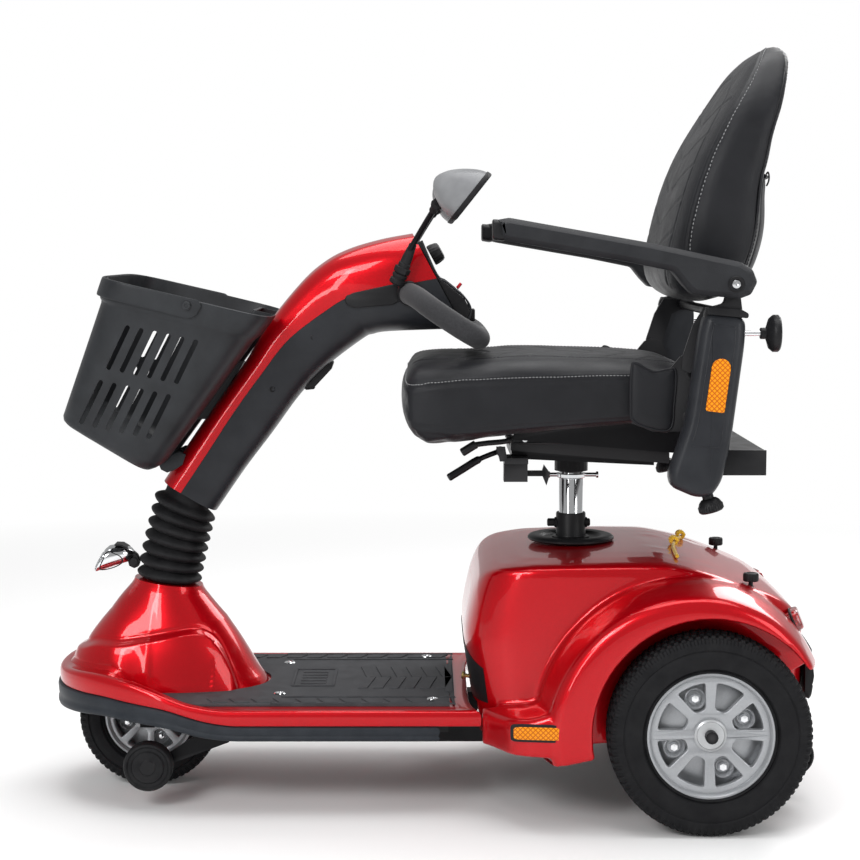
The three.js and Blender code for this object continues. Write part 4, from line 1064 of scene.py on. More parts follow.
def arch_body(name, side, inset):
    """Wheel arch: sections fanned round the axle, from the sill to the rear corner."""
    ax, az = REAR_AXLE
    reaches = [(-12, 243), (8, 243), (25, 236), (45, 228), (65, 220), (85, 212), (105, 205), (125, 197), (150, 184)]
    rings = []
    for degrees in np.linspace(-12, 150, 82):
        angle = math.radians(180 - degrees)
        r = soft_along(reaches, degrees, 8) - inset
        profile = [(120, 205), (120, 308 - inset), (r - 30, 308 - inset), (r - 20, 307 - inset),
                   (r - 11, 303.5 - inset), (r - 5, 297 - inset), (r - 2, 288 - inset), (r + 1, 276), (r + 4, 262),
                   (r + 7, 248), (r + 9, 235), (r + 12, 205)]
        rings.append([(ax + d * math.cos(angle), side * y, az + d * math.sin(angle)) for d, y in profile])
    return make(name, *skin(rings))


def sill_body(name, side, inset):
    """The block in front of the wheel arch that carries the side reflector."""
    stations = [(78, 216, 168), (100, 250, 170), (118, 284, 172), (150, 298, 176), (205, 305, 196), (262, 308, 200)]
    rings = []
    for x in np.linspace(78, 262, 30):
        y, top = (soft_along([(q[0], q[k]) for q in stations], x, 7) for k in (1, 2))
        rings.append([(x, side * 200, 118 - 2 * inset), (x, side * (y - inset), 118 - 2 * inset),
                      (x, side * (y - inset), top - 14 - inset), (x, side * (y - 3 - inset), top - 5 - inset),
                      (x, side * (y - 10 - inset), top - inset), (x, side * 200, top + 4 - inset)])
    return make(name, *skin(rings))


def rear_shroud():
    """The outer skin is fused and softened first, so that its lips and creases are round, then hollowed."""
    outer = shroud_body("rear_shroud_shell", 0, 118)
    for s, _ in SIDES:
        boolean(outer, arch_body("arch", s, 0), "UNION")
        boolean(outer, sill_body("sill", s, 0), "UNION")
    for s, _ in SIDES:
        low, high = sorted((s * 219, s * 330))
        boolean(outer, cylinder("wheel_room", (REAR_AXLE[0], 0, REAR_AXLE[1]), (0, 1, 0), 175, low, high))
        boolean(outer, box("wheel_room", (REAR_AXLE[0], low, 60), (640, high, 250)))
    remesh(outer, 3.4)
    modify(outer, "SMOOTH", factor=0.5, iterations=9)
    inner = shroud_body("inner", 8, 90)
    points = coordinates(inner)
    back = np.clip((points[:, 0] - 0.36) / 0.16, 0, 1)
    points[:, 0] -= 0.009 * back
    points[:, 2] -= 0.007 * back * (points[:, 2] > 0.24)
    set_coordinates(inner, points)
    for s, _ in SIDES:
        low, high = sorted((s * 100, s * 219))
        for made in (arch_body("arch", s, 6), sill_body("sill", s, 6)):
            boolean(made, box("keep", (0, low, 60), (700, high, 420)))
            boolean(inner, made, "UNION")
    boolean(outer, inner)
    for s, _ in SIDES:
        low, high = sorted((s * 190, s * 240))
        boolean(outer, box("axle_room", (350, low, 90), (480, high, 215)))
        boolean(outer, tail_light_body("pocket", s, 0.5))
        boolean(outer, cylinder("knob_hole", (491, s * 178, 0), (0, 0, 1), 5.5, 330, 400, 24))
    boolean(outer, cylinder("post_hole", (POST_X, 0, 0), (0, 0, 1), 45, 380, 420, 48))
    boolean(outer, box("pan_room", (40, -150, 90), (74, 150, DECK_TOP + 1)))
    boolean(outer, box("frame_room", (40, -122, 85), (90, 122, 129)))
    boolean(outer, box("antitip_room", (570, -60, 90), (600, 60, 150)))
    place(outer, "chassis", RED, "red_paint", ["rear_shroud"], 50)


def lean_tail_light(obj, side, x, z):
    """Leans and turns a piece of a tail light to its place in the corner of the shroud."""
    obj.data.transform(Matrix.Rotation(-0.42, 4, "Y"))
    obj.data.transform(Matrix.Rotation(side * 0.18, 4, "Z"))
    obj.data.transform(Matrix.Translation(Vector((x, side * 176, z)) * MM))
    return obj


def tail_light_body(name, side, grow):
    """The lens block; the shroud has a pocket of the same shape, grown a little."""
    ring = super_ellipse(48, 17 + grow, 27 + grow, 4)
    rings = []
    for u, scale in ((-12 - grow, 1.0), (7 + grow, 1.0), (11 + grow, 0.96), (13.4 + grow, 0.88), (14 + grow, 0.8)):
        rings.append([(u, w * scale, v * scale) for v, w in ring])
    return lean_tail_light(make(name, *skin(rings)), side, 556, 302)


rear_shroud()


def tail_lights():
    for s, side in SIDES:
        place(tail_light_body(f"tail_lamp_{side}", s, 0), "chassis", RED_LENS, "lens_red", [f"tail_light_{side}"], 30)
        ring = [(-2.0, w * 1.045, v * 1.07) for v, w in super_ellipse(40, 17, 27, 4)]
        bezel = tube(f"tail_lamp_bezel_{side}", ring, 2.0, sides=8, closed=True, smooth_path=False)
        place(lean_tail_light(bezel, s, 560, 304), "chassis", BLACK, "black_plastic")


def side_reflectors():
    """Amber reflector in a black bezel on each sill, turned to follow the slant of the sill."""
    mid_x, mid_z, slant = 157, 156, 0.115
    for s, side in SIDES:
        for name, wide, tall, low, high, edge, material, slot in (
                ("sill_bezel", 40, 13.5, 296, 301, 1.2, BLACK, "black_plastic"),
                ("sill_reflector", 35.5, 9.6, 299, 302.2, 0.8, AMBER, "lens_red")):
            outline = [(x + mid_x, z + mid_z) for x, z in super_ellipse(48, wide, tall, 7)]
            piece = side_plate(f"{name}_{side}", outline, low, high, edge)
            points = coordinates(piece)
            points[:, 1] = s * (points[:, 1] + (points[:, 0] - mid_x * MM) * slant)
            set_coordinates(piece, points)
            tidy(piece)
            place(piece, "chassis", material, slot, degrees=30)


def shroud_trim():
    """The black panel on the front of the shroud, the brass catch and the two knobs on the lid."""
    shell = bpy.data.objects["rear_shroud_shell"]
    columns, rows = 61, 19
    verts = []
    for j in range(rows):
        for i in range(columns):
            y = lerp(-183, 183, i / (columns - 1))
            top = 262 - 34 * abs(y / 183) ** 3
            z = lerp(174, top, j / (rows - 1))
            spot, way = shell.ray_cast(Vector((-100, y, z)) * MM, Vector((1, 0, 0)))[1:3]
            verts.append(tuple((spot + way * 0.8 * MM) / MM))
    faces = [(a, a + columns, a + columns + 1, a + 1)
             for a in (j * columns + i for j in range(rows - 1) for i in range(columns - 1))]
    panel = thicken(make("shroud_front_panel", verts, faces), 3.0)
    place(panel, "chassis", BLACK, "black_plastic")
    catch = lathe("shroud_catch", [(0.01, -7), (3.2, -7), (3.2, 3), (6.0, 3.5), (6.4, 6), (5.0, 8), (0.01, 8.4)],
                  (56, -92, 196), (-1, 0, 0.2), 24)
    place(catch, "chassis", BRASS, "cord_yellow", degrees=30)
    for s, side in SIDES:
        knob = lathe(f"shroud_knob_grip_{side}", [(0.01, -20), (3.4, -20), (3.4, 0), (11.0, 0), (12.0, 1.5),
                                                  (12.0, 10), (11.0, 12.4), (8.0, 13.0), (7.0, 12.2), (0.01, 12.4)],
                     (491, s * 178, shroud_top(478, 178) + 0.6), (0, 0, 1), 72,
                     lambda t, r, h: r - (0.7 if r > 11.5 and math.cos(18 * t) < -0.2 else 0))
        place(knob, f"shroud_knob_{side}", BLACK, "black_plastic", [f"shroud_knob_{side}"], 30)


def rear_bumper():
    """A ribbed bar with rounded ends; the ribs are drawn below its middle and mirrored above."""
    ribs = [(-12, -34), (-6, -37), (-3, -38), (0, -34), (1.5, -26), (2, -22), (0.2, -19), (0.2, -17), (2.5, -14)]
    rings = []
    for y in (-168, -166.5, -163, -158, *np.linspace(-140, 140, 15), 158, 163, 166.5, 168):
        end = 1 - 0.34 * max(0, (abs(y) - 156) / 12) ** 2.5
        back = 598 - 0.00028 * y * y
        rings.append([(back + u * (0.6 + 0.4 * end), y, 212 + v * end * (1.2 if v > 0 else 1))
                      for u, v in [*ribs, (4, 0), *[(u, -v) for u, v in ribs[::-1]]]])
    bumper = make("rear_bumper_ribbed", *skin(rings))
    place(bumper, "chassis", BLACK, "black_plastic", ["rear_bumper"], 40)


def post_and_socket():
    """The dished socket with its clamp bolts, the chromed post, and its collar with pins."""
    socket = lathe("post_socket_dished", [
        (20.4, 396.8), (24, 396.8), (24, 401.8), (68, 401.8), (70, 403.5), (70, 406), (67, 409), (62, 410.5),
        (54, 410.5), (50, 409.5), (46, 405.5), (43, 404.5), (30, 404.5), (30, 407), (24.6, 408), (24, 410),
        (24, 444), (23, 446), (20.4, 446), (20.4, 396.8)], (POST_X, 0, 0), (0, 0, 1), 72)
    bolt_shapes = []
    for reach, side_x in ((14, -1), (7, 1)):
        at = (POST_X + side_x * 23, 0, 429)
        bolt_shapes.append(lathe("bolt", [(0.01, 0), (8.5, 0), (8.5, 3), (6.5, 4), (6.5, reach), (4.5, reach + 1.4),
                                          (0.01, reach + 1.4)], at, (side_x, 0, 0), 6 if side_x < 0 else 24))
    place(join_objects("post_socket_dished", [socket, *bolt_shapes]), "chassis", BLACK, "black_plastic",
          ["post_socket"], 30)
    post = lathe("seat_post_chromed", [(0.01, 300), (18.5, 300), (19.5, 301), (19.5, 512), (18.5, 514), (0.01, 514)],
                 (POST_X, 0, 0), (0, 0, 1), 72)
    place(post, "seat_post", CHROME, "chrome", ["seat_post"], 40)
    collar = lathe("post_collar", [(19.8, 503), (23.5, 503), (24.5, 504), (24.5, 509), (23.5, 510), (19.8, 510),
                                   (19.8, 503)], (POST_X, 0, 0), (0, 0, 1), 48)
    pins = []
    for turn, reach in ((0.0, 40), (math.pi, 34)):
        direction = (math.cos(turn), math.sin(turn), 0)
        pins.append(lathe("pin", [(0.01, 20), (3.4, 20), (3.4, reach), (5.2, reach + 0.5), (5.2, reach + 4),
                                  (0.01, reach + 4.6)], (POST_X, 0, 507), direction, 20))
    place(join_objects("post_collar_pins", [collar, *pins]), "seat_post", CHROME, "chrome", degrees=35)


# ---------------------------------------------------------------- bellows and headlight
def bellows():
    """The folded boot, with a neck that stays inside the tiller cover."""
    folds = 7
    rings = []

    def ring(t, radius):
        cx, cz = lerp(-428.2, -398, t ** 1.15), lerp(334.8, 464, t)
        lean = lerp(STEER_RAKE, 0.44, t ** 1.1)
        circle = super_ellipse(56, radius, radius, 2)
        return [(cx + u * math.cos(lean), v, cz - u * math.sin(lean)) for u, v in circle]

    for i in range(folds * 12 + 1):
        t = i / (folds * 12)
        crest = abs(math.sin(math.pi * folds * t)) ** 0.9
        rings.append(ring(t, 40.5 + 12.3 * crest))
    for t, radius in ((1.015, 38.5), (1.04, 37.5), (1.1, 37), (1.2, 36.5), (1.2, 34.5), (1.06, 34.5)):
        rings.append(ring(t, radius))
    for i in range(folds * 4, -1, -1):
        t = i / (folds * 4)
        rings.append(ring(t, 36.5 + 9.5 * abs(math.sin(math.pi * folds * t))))
    boot = make("bellows", *skin(rings, tube=True))
    smooth(boot, 60)
    boot.data.materials.append(RUBBER)
    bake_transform(boot)
    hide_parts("boot")


LAMP = [(-485.5, 372, 5, 6), (-487.5, 372.6, 8, 10.5), (-490, 373.5, 11, 15), (-495, 374.3, 14, 19),
        (-502, 374.5, 17, 23), (-510, 373.8, 19.5, 25.5), (-518, 372.5, 21.5, 27.5), (-527, 371, 23.2, 28.6),
        (-534.5, 369.5, 24, 29)]


LAMP_UP = (0.455, 0.89)
LAMP_SQUARENESS = 2.6


def lamp_ring(x, z, tall, wide):
    ring = super_ellipse(64, tall, wide, LAMP_SQUARENESS)
    return [(x + LAMP_UP[0] * u, y, z + LAMP_UP[1] * u) for u, y in ring]


def headlight():
    """A clear-fronted lamp: chromed shell, bright bezel, fluted lens and bulb, on a black clamp."""
    hollow = [(-536, 369.2, 23.5, 28.5), (-535.5, 369.3, 21.8, 26.8), (-530, 370.3, 20.6, 25.6),
              (-516, 372.6, 15, 20), (-505, 374, 8, 10)]
    face = [(-533.2, 369.8, 21.4, 26.4), (-536.6, 369.1, 21.4, 26.4), (-538.6, 368.7, 20, 25),
            (-540.6, 368.3, 15, 19), (-541.8, 368.1, 8, 10), (-542.0, 368.0, 1, 1)]
    shell = make("headlight_shell", *skin([lamp_ring(*row) for row in LAMP + hollow]))
    place(shell, "headlight", CHROME, "chrome", ["headlight"], 45)
    lens = make("headlight_lens", *skin([lamp_ring(*row) for row in face]))
    place(lens, "headlight", CLEAR, "chrome", degrees=60)
    bulb = lathe("headlight_bulb", [(0.01, 0), (4, 0), (4, 9), (5.5, 12), (5.5, 17), (3.5, 20), (0.01, 21)],
                 (-506, 0, 374), (-0.99, 0, -0.18), 24)
    place(bulb, "headlight", CLEAR, "chrome", degrees=60)
    for s, side in SIDES:
        outline = []
        for x, z in curve_through([(-524, 384), (-531, 371), (-536, 356), (-522, 356), (-508, 361), (-500, 368),
                                   (-503, 376), (-512, 381)], 5, closed=True):
            row = [float(np.interp(-x, [-r[0] for r in LAMP], [r[k] for r in LAMP])) for k in (1, 2, 3)]
            u = (z - row[0]) / LAMP_UP[1] / row[1]
            wide = row[2] * max(0.0, 1 - abs(u) ** LAMP_SQUARENESS) ** (1 / LAMP_SQUARENESS)
            outline.append((x, s * (wide + 0.4), z))
        trim = tube(f"headlight_window_trim_{side}", outline, 0.9, 8, 1, closed=True, smooth_path=False)
        place(trim, "headlight", BLACK, "black_plastic")
    section = ((-514, 395.0, 1.0), (-503, 394.6, 1.0), (-494, 389.5, 0.9), (-487, 381.5, 0.7),
               (-488.6, 380.2, 0.7), (-495.5, 387.5, 0.9), (-504, 392.0, 1.0), (-514, 392.6, 1.0))
    brow = [[(x, y * wide, z) for x, z, wide in section] for y in np.linspace(-15, 15, 9)]
    place(make("headlight_brow", *skin(brow)), "headlight", BLACK, "black_plastic", degrees=40)
    arm = side_plate("headlight_arm", [(-494, 380), (-486, 383), (-478, 376), (-474, 366), (-477, 357), (-484, 354),
                                       (-492, 358), (-494, 366)], -7, 7, 1.5)
    screw = lathe("screw", [(0.01, -11), (6, -11), (6, -9), (4, -8.8), (4, 8.8), (6, 9), (6, 11), (0.01, 11)],
                  (-484, 0, 366), (0, 1, 0), 24)
    place(join_objects("headlight_arm", [arm, screw]), "headlight", BLACK, "black_plastic", degrees=30)


tail_lights()
side_reflectors()
shroud_trim()
rear_bumper()
post_and_socket()
bellows()
headlight()


# ---------------------------------------------------------------- tiller covers
TILLER = [
    (-431, 501, 0.857, -0.515, 35, 97, 49), (-386, 568, 0.857, -0.515, 35, 98, 51),
    (-342, 631, 0.857, -0.515, 33, 101, 53), (-298, 693, 0.84, -0.543, 34, 102, 57),
    (-259, 758, 0.777, -0.629, 44, 117, 63), (-208, 821, 0.731, -0.682, 63, 135, 72),
    (-170, 854, 0.55, -0.835, 70, 141, 79), (-131, 874, 0.4, -0.917, 78, 146, 84),
    (-80, 889, 0.375, -0.927, 80, 158, 87), (-31, 898, 0.476, -0.879, 82, 174, 86),
]


def signed_power(value, power):
    return math.copysign(abs(value) ** power, value)


def tiller_covers():
    """Two shells on smooth stations: a red front with a raised spine and a grey back."""
    stations = curve_through(TILLER, 7)
    wrap = 44
    for kind, name, node, material, slot in (
            ("red", "tiller_cover_front", "tiller_front_cover", RED, "red_paint"),
            ("grey", "tiller_cover_rear", "tiller_rear_cover", SHELL, "grey_shell")):
        rings = []
        for k, (x, z, nx, nz, split, depth, half) in enumerate(stations):
            high = smooth_step((k / len(stations) - 0.30) / 0.25)

            def arc(inset, x=x, z=z, nx=nx, nz=nz, split=split, depth=depth, half=half, high=high):
                points = []
                for i in range(wrap + 1):
                    t = lerp(-math.pi / 2, math.pi / 2, i / wrap)
                    y = (half - inset) * signed_power(math.sin(t), 0.62)
                    swell = abs(math.cos(t)) ** 0.6
                    share = abs(y) / half
                    if kind == "red":
                        d = split - (split - inset) * swell
                        ridge = math.exp(-((share - 0.56) / 0.05) ** 2)
                        d += (2.0 * ridge + 1.6 * smooth_step((0.56 - share) / 0.1)) * high * (inset < 1)
                    else:
                        d = split + 0.35 + (depth - inset - split - 0.35) * swell
                        lip = math.exp(-((d - split - 6) / 3.0) ** 2)
                        y -= math.copysign(1.2 * lip, y) * (inset < 1)
                    points.append((x + nx * d, y, z + nz * d))
                return points

            rings.append([*arc(0), *arc(3.5)[::-1]])
        cover = make(name, *skin(rings, caps=False))
        work = bmesh.new()
        work.from_mesh(cover.data)
        work.verts.ensure_lookup_table()
        count = 2 * (wrap + 1)
        for r in (0, len(rings) - 1):
            for i in range(wrap):
                corner = [r * count + i, r * count + i + 1, r * count + count - 2 - i, r * count + count - 1 - i]
                work.faces.new([work.verts[c] for c in corner])
        bmesh.ops.recalc_face_normals(work, faces=work.faces)
        work.to_mesh(cover.data)
        work.free()
        place(cover, "tiller", material, slot, [node], 40)


def tiller_details():
    """Cap plate at each handlebar root and the screws in the grey shell."""
    for s, side in SIDES:
        outline = [(-136, 793), (-133, 799), (-120, 804), (-60, 817), (-38, 820), (-30, 812), (-34, 800), (-60, 785),
                   (-120, 780), (-133, 785)]
        plate = side_plate(f"tiller_cap_plate_{side}", outline, *sorted((s * 84.5, s * 89.5)), 1.6)
        points = coordinates(plate)
        points[:, 1] += s * (np.interp(points[:, 0] / MM, [-136, -80, -30], [-3.0, 0.0, -1.0])) * MM
        set_coordinates(plate, points)
        place(plate, "tiller", BLACK, "black_plastic")
    screws = []
    for x, z, half in ((-336, 540, 47), (-252, 650, 55), (-186, 733, 64)):
        for s in (-1, 1):
            at = (x, s * half, z)
            screws.append(lathe("screw", [(0.01, -2), (4.6, -2), (4.6, 0.4), (3.4, 1.4), (3.0, 0.2), (0.01, 0.2)],
                                at, (0.25, s, -0.15), 24))
    place(join_objects("tiller_screws", screws), "tiller", BLACK, "black_plastic", degrees=30)


def console_pod():
    """The pod with its side trims, face plate, buttons, charge lamps and lower tab."""
    outline = [(-25, 884), (-14, 884), (9, 829), (24, 817), (52, 794), (62, 775), (54, 751), (46, 751), (5, 826)]
    pod = side_plate("console_pod", outline, -76, 76, 3.0, 4)
    boolean(pod, cylinder("bore", (-14, 30, 830), (0.861, 0, 0.509), 4.2, 0, 51, 24))
    boolean(pod, cylinder("bore", (25.3, -20, 790), (0.634, 0, 0.774), 3.4, 0, 30, 24))
    place(pod, "tiller", BLACK, "black_plastic", ["console"], 35)
    edge = [(-16, 884.5), (8.5, 830.5), (24, 818.5), (51, 796), (61.5, 776), (54, 752.5)]
    for s, side in SIDES:
        line = tube(f"console_trim_{side}", [(x + 0.6, s * 72.6, z + 0.4) for x, z in edge], 1.5, sides=10, steps=6)
        place(line, "tiller", SHELL, "grey_shell")
    u = Vector((0.767, 0, -0.642))
    n = Vector((0.642, 0, 0.767))
    middle = Vector((38, 0, 806.2))

    def flat_body(name, outline, y, down, layers):
        """A small flat body on the console face, skinned over layers of (height, size)."""
        return make(name, *skin([
            [tuple(middle + u * (a * k - down) + Vector((0, y + b * k, 0)) + n * h) for a, b in outline]
            for h, k in layers]))

    layers = ((-1.5, 1), (0.3, 1), (0.9, 0.97))
    face = flat_body("console_face_plate", super_ellipse(40, 14.5, 56, 6), 0, 0, layers)
    boolean(face, cylinder("bore", (25.3, -20, 790), (0.634, 0, 0.774), 3.6, 0, 40, 24))
    place(face, "tiller", SHELL, "grey_shell")
    buttons = ((-48, 7, 5, 3.0), (-36, 4, 4, 2.2), (14, 6, 4, 2.4), (34, 6, 4, 2.4), (50, 4, 6, 2.0))
    bits = [flat_body("button", super_ellipse(20, tall, wide, 5), y, 0, ((0, 1), (high, 1), (high + 0.8, 0.8)))
            for y, wide, tall, high in buttons]
    place(join_objects("console_buttons", bits), "tiller", BLACK, "black_plastic")
    gauge = [flat_body("lamp", super_ellipse(12, 2.4, 1.1, 4), -4 + k * 3.2, 2, ((0.6, 1), (1.3, 1)))
             for k in range(5)]
    place(join_objects("console_gauge", gauge), "tiller", AMBER, "lens_red")
    place(box("console_tab", (52, -16, 756), (70, 16, 776), 2.0), "tiller", BLACK, "black_plastic")


def console_controls():
    """Speed dial, power key and throttle paddle."""
    up = Vector((0.879, 0, 0.476))
    at = Vector((-5, 30, 858))
    knob = lathe("speed_dial", [(0.01, 5), (15.5, 5), (17, 6.2), (17, 12), (15.5, 20), (13.5, 23.2), (9, 24.4),
                                (0.01, 24.6)], at, up, 96,
                 lambda t, r, h: r - (0.6 if 6 < h < 20 and math.cos(20 * t) < 0 else 0))
    place(knob, "speed_knob", BLACK, "black_plastic", ["speed_knob"], 30)
    key_up = Vector((0.634, 0, 0.774))
    stem = lathe("key_stem", [(0.01, 0), (2.9, 0), (2.9, 15), (0.01, 15)], (31.6, -20, 797.7), key_up, 16)
    place(stem, "power_key", CHROME, "chrome")
    base = Vector((40, -20, 807.9))
    side = Vector((0, 1, 0))
    flat = key_up.cross(side)
    rings = [[tuple(base + key_up * h + side * b * k + flat * a * k) for a, b in super_ellipse(28, 2.6, 7.6, 3)]
             for h, k in ((1.6, 0.8), (2.6, 1.0), (10.5, 1.0), (12, 0.85))]
    grip = make("key_grip", *skin(rings))
    place(grip, "power_key", KEY_RED, "key_red", ["power_key"])
    lever = tube("throttle_paddle", [(-4, 100, 776), (4, 112, 774), (12, 126, 768), (20, 131, 759), (30, 138, 750)],
                 lambda t: 4.6 + 2.6 * smooth_step((t - 0.35) / 0.4) - 1.6 * smooth_step((t - 0.9) / 0.1), 20, 6)
    place(lever, "throttle", BLACK, "black_plastic", ["throttle_lever"])


def hand_loop():
    """The foam-covered loop and the collars at its two roots."""
    quarter = [(-36, 93, 803), (-22, 128, 797), (4, 163, 779), (42, 176, 754), (68, 158, 738), (74, 110, 734)]
    loop = [(x, -y, z) for x, y, z in quarter] + quarter[::-1]
    foam = tube("handlebar_foam", loop, lambda t: 17 - 1.6 * smooth_step((abs(t - 0.5) - 0.485) / 0.015), 36, 10)
    place(foam, "tiller", FOAM, "foam", ["handlebar"], 60)
    rings = []
    for s in (-1, 1):
        path = curve_through([(x, s * y, z) for x, y, z in quarter], 10)
        a, b = Vector(path[1]), Vector(path[3])
        rings.append(lathe("collar", [(14, -4.5), (18.6, -4.5), (19.4, -3.5), (19.4, 3.5), (18.6, 4.5), (14, 4.5),
                                      (14, -4.5)], a, b - a, 48))
    place(join_objects("handlebar_collars", rings), "tiller", BLACK, "black_plastic")


tiller_covers()
tiller_details()
console_pod()
console_controls()
hand_loop()


# ---------------------------------------------------------------- basket
BASKET_FLOOR = ((-579, 604), (-427, 527))
BASKET_RIM = ((-497, 829), (-250, 768))


def basket_point(u, v, t, grow):
    """A point of the tapered tub: u and v across it from -1 to 1, t from its floor to its rim."""
    (fx, fz), (rx, rz) = [[lerp(BASKET_FLOOR[k][axis], BASKET_RIM[k][axis], t) for axis in (0, 1)] for k in (0, 1)]
    share = 0.5 + 0.5 * u
    return lerp(fx - grow, rx + grow, share), v * (lerp(160, 190, t) + grow), lerp(fz, rz, share)


def capsule(a, b, radius, direction, reach):
    """A slot cutter: a flat bar with round ends from a to b, pulled both ways along a direction."""
    a, b, direction = Vector(a), Vector(b), Vector(direction).normalized()
    ahead = (b - a).normalized()
    across = ahead.cross(direction).normalized()
    outline = []
    for centre, start in ((b, -math.pi / 2), (a, math.pi / 2)):
        for i in range(9):
            turn = start + math.pi * i / 8
            outline.append(centre + ahead * math.cos(turn) * radius + across * math.sin(turn) * radius)
    return make("slot", *skin([[tuple(p + direction * r) for p in outline] for r in (-reach, reach)]))


def basket():
    """The tub with its rolled rim, hollowed, with room for the tiller, slots and feet."""
    def body(name, rows):
        return make(name, *skin([[basket_point(u, v, t, grow) for u, v in super_ellipse(120, 1, 1, 6)]
                                 for t, grow in rows]))

    tub = body("basket_tub", ((0, -12), (0.012, -6.5), (0.03, -2.2), (0.055, 0), (0.3, 0), (0.6, 0), (0.83, 0.2),
                              (0.848, 1.2), (0.862, 3.8), (0.875, 5.0), (0.985, 5.8), (0.996, 5.2), (1, 3.8)))
    inside = body("inside", ((0.03, -15), (0.045, -8), (0.08, -3.6), (0.86, -3.2), (0.885, 1.8), (0.985, 2.2),
                             (1.02, 2.8)))

    def channel(depth, half):
        """The room for the tiller, cut into the back of the tub to this depth."""
        dx, dz = -0.806 * depth, 0.592 * depth
        outline = [(-430, 472), (-201, 783), (-226 + dx, 801 + dz), (-455 + dx, 490 + dz)]
        return side_plate("channel", outline, -half, half, 4, 3)

    boolean(tub, channel(26, 62))
    boolean(inside, channel(30, 66))
    boolean(tub, inside)
    slots = []
    for top, bottom in (((-461, 753), (-492, 692)), ((-505, 669), (-537, 607))):
        for i in range(6):
            (x1, z1), (x0, z0) = [(x + 20.7 * i, z - 4.3 * i) for x, z in (top, bottom)]
            slots.append(capsule((x0, 0, z0), (x1, 0, z1), 3.8, (0, 1, 0), 240))
    for low, high in ((0.13, 0.40), (0.51, 0.78)):
        for i in range(9):
            y = (i - 4) * 25.0
            a, b = [basket_point(-1, 0, t, 0) for t in (low, high)]
            slots.append(capsule((a[0], y, a[2]), (b[0], y, b[2]), 3.8, (1, 0, 0.2), 22))
    boolean(tub, join_objects("slots", slots))
    bevel(tub, 0.7, 2, 32)
    place(tub, "tiller", BASKET, "grey_shell", ["basket"], 35)
    outline = [(-437, 535), (-432, 521), (-422, 516), (-409, 521), (-397, 529), (-392, 545), (-404, 550)]
    ribs = [side_plate("rib", outline, y - 3, y + 3, 1.2, 2) for y in (-48, -16, 16, 48)]
    place(join_objects("basket_feet", ribs), "tiller", BASKET, "grey_shell")


def basket_carry_handle():
    """A flat band folded forward round the rim, with a rounded boss at each hinge."""
    unit = even(super_ellipse(720, 1, 1, 6), 1440)
    front = [p for p in unit if basket_point(p[0], p[1], 0.94, 8)[0] < -352]
    order = np.argsort([math.atan2(p[1], -p[0]) for p in front])
    rings = []
    for u, v in [front[i] for i in order][::5]:
        run = max(0.4, -351 - basket_point(u, v, 0.94, 8)[0])
        tall = math.sqrt(max(0.0, 1 - (1 - min(run / 13.5, 1)) ** 2))
        rings.append([basket_point(u, v, 0.947 + 0.06 * a * tall, 9.0 + 2.3 * b * max(0.5, tall))
                      for a, b in super_ellipse(20, 1, 1, 5)])
    band = make("basket_handle_band", *skin(rings))
    place(band, "basket_handle", BASKET, "grey_shell", ["basket_handle"], 40)
    for s, side in SIDES:
        pin = lathe(f"handle_pin_{side}", [(0.01, -3), (6.5, -3), (6.5, 0.8), (5.6, 1.6), (3.0, 1.6), (2.6, 0.6),
                                           (0.01, 0.6)], (-369, s * 203.5, 787), (0, s, 0), 32)
        place(pin, "basket_handle", BASKET, "grey_shell", degrees=30)


def tiller_fittings():
    """Charger inlet with its cover under the tiller."""
    outline = [(-211, 660), (-201, 648), (-188, 650), (-161, 679), (-157, 690), (-169, 702)]
    socket = side_plate("charger_inlet", outline, -17, 17, 2.5, 3)
    lip = side_plate("lip", [(-186, 678), (-170, 694), (-166, 690), (-182, 674)], -19.5, 19.5, 1.2, 2)
    place(join_objects("charger_inlet", [socket, lip]), "tiller", BLACK, "black_plastic", ["charger_socket"], 35)
    flap = [(-213, 659), (-202, 645.5), (-188, 647), (-189, 652), (-200, 651), (-209, 663)]
    tab = side_plate("charger_cover", flap, -13, 13, 1.4, 3)
    place(tab, "tiller", RUBBER, "rubber", degrees=35)


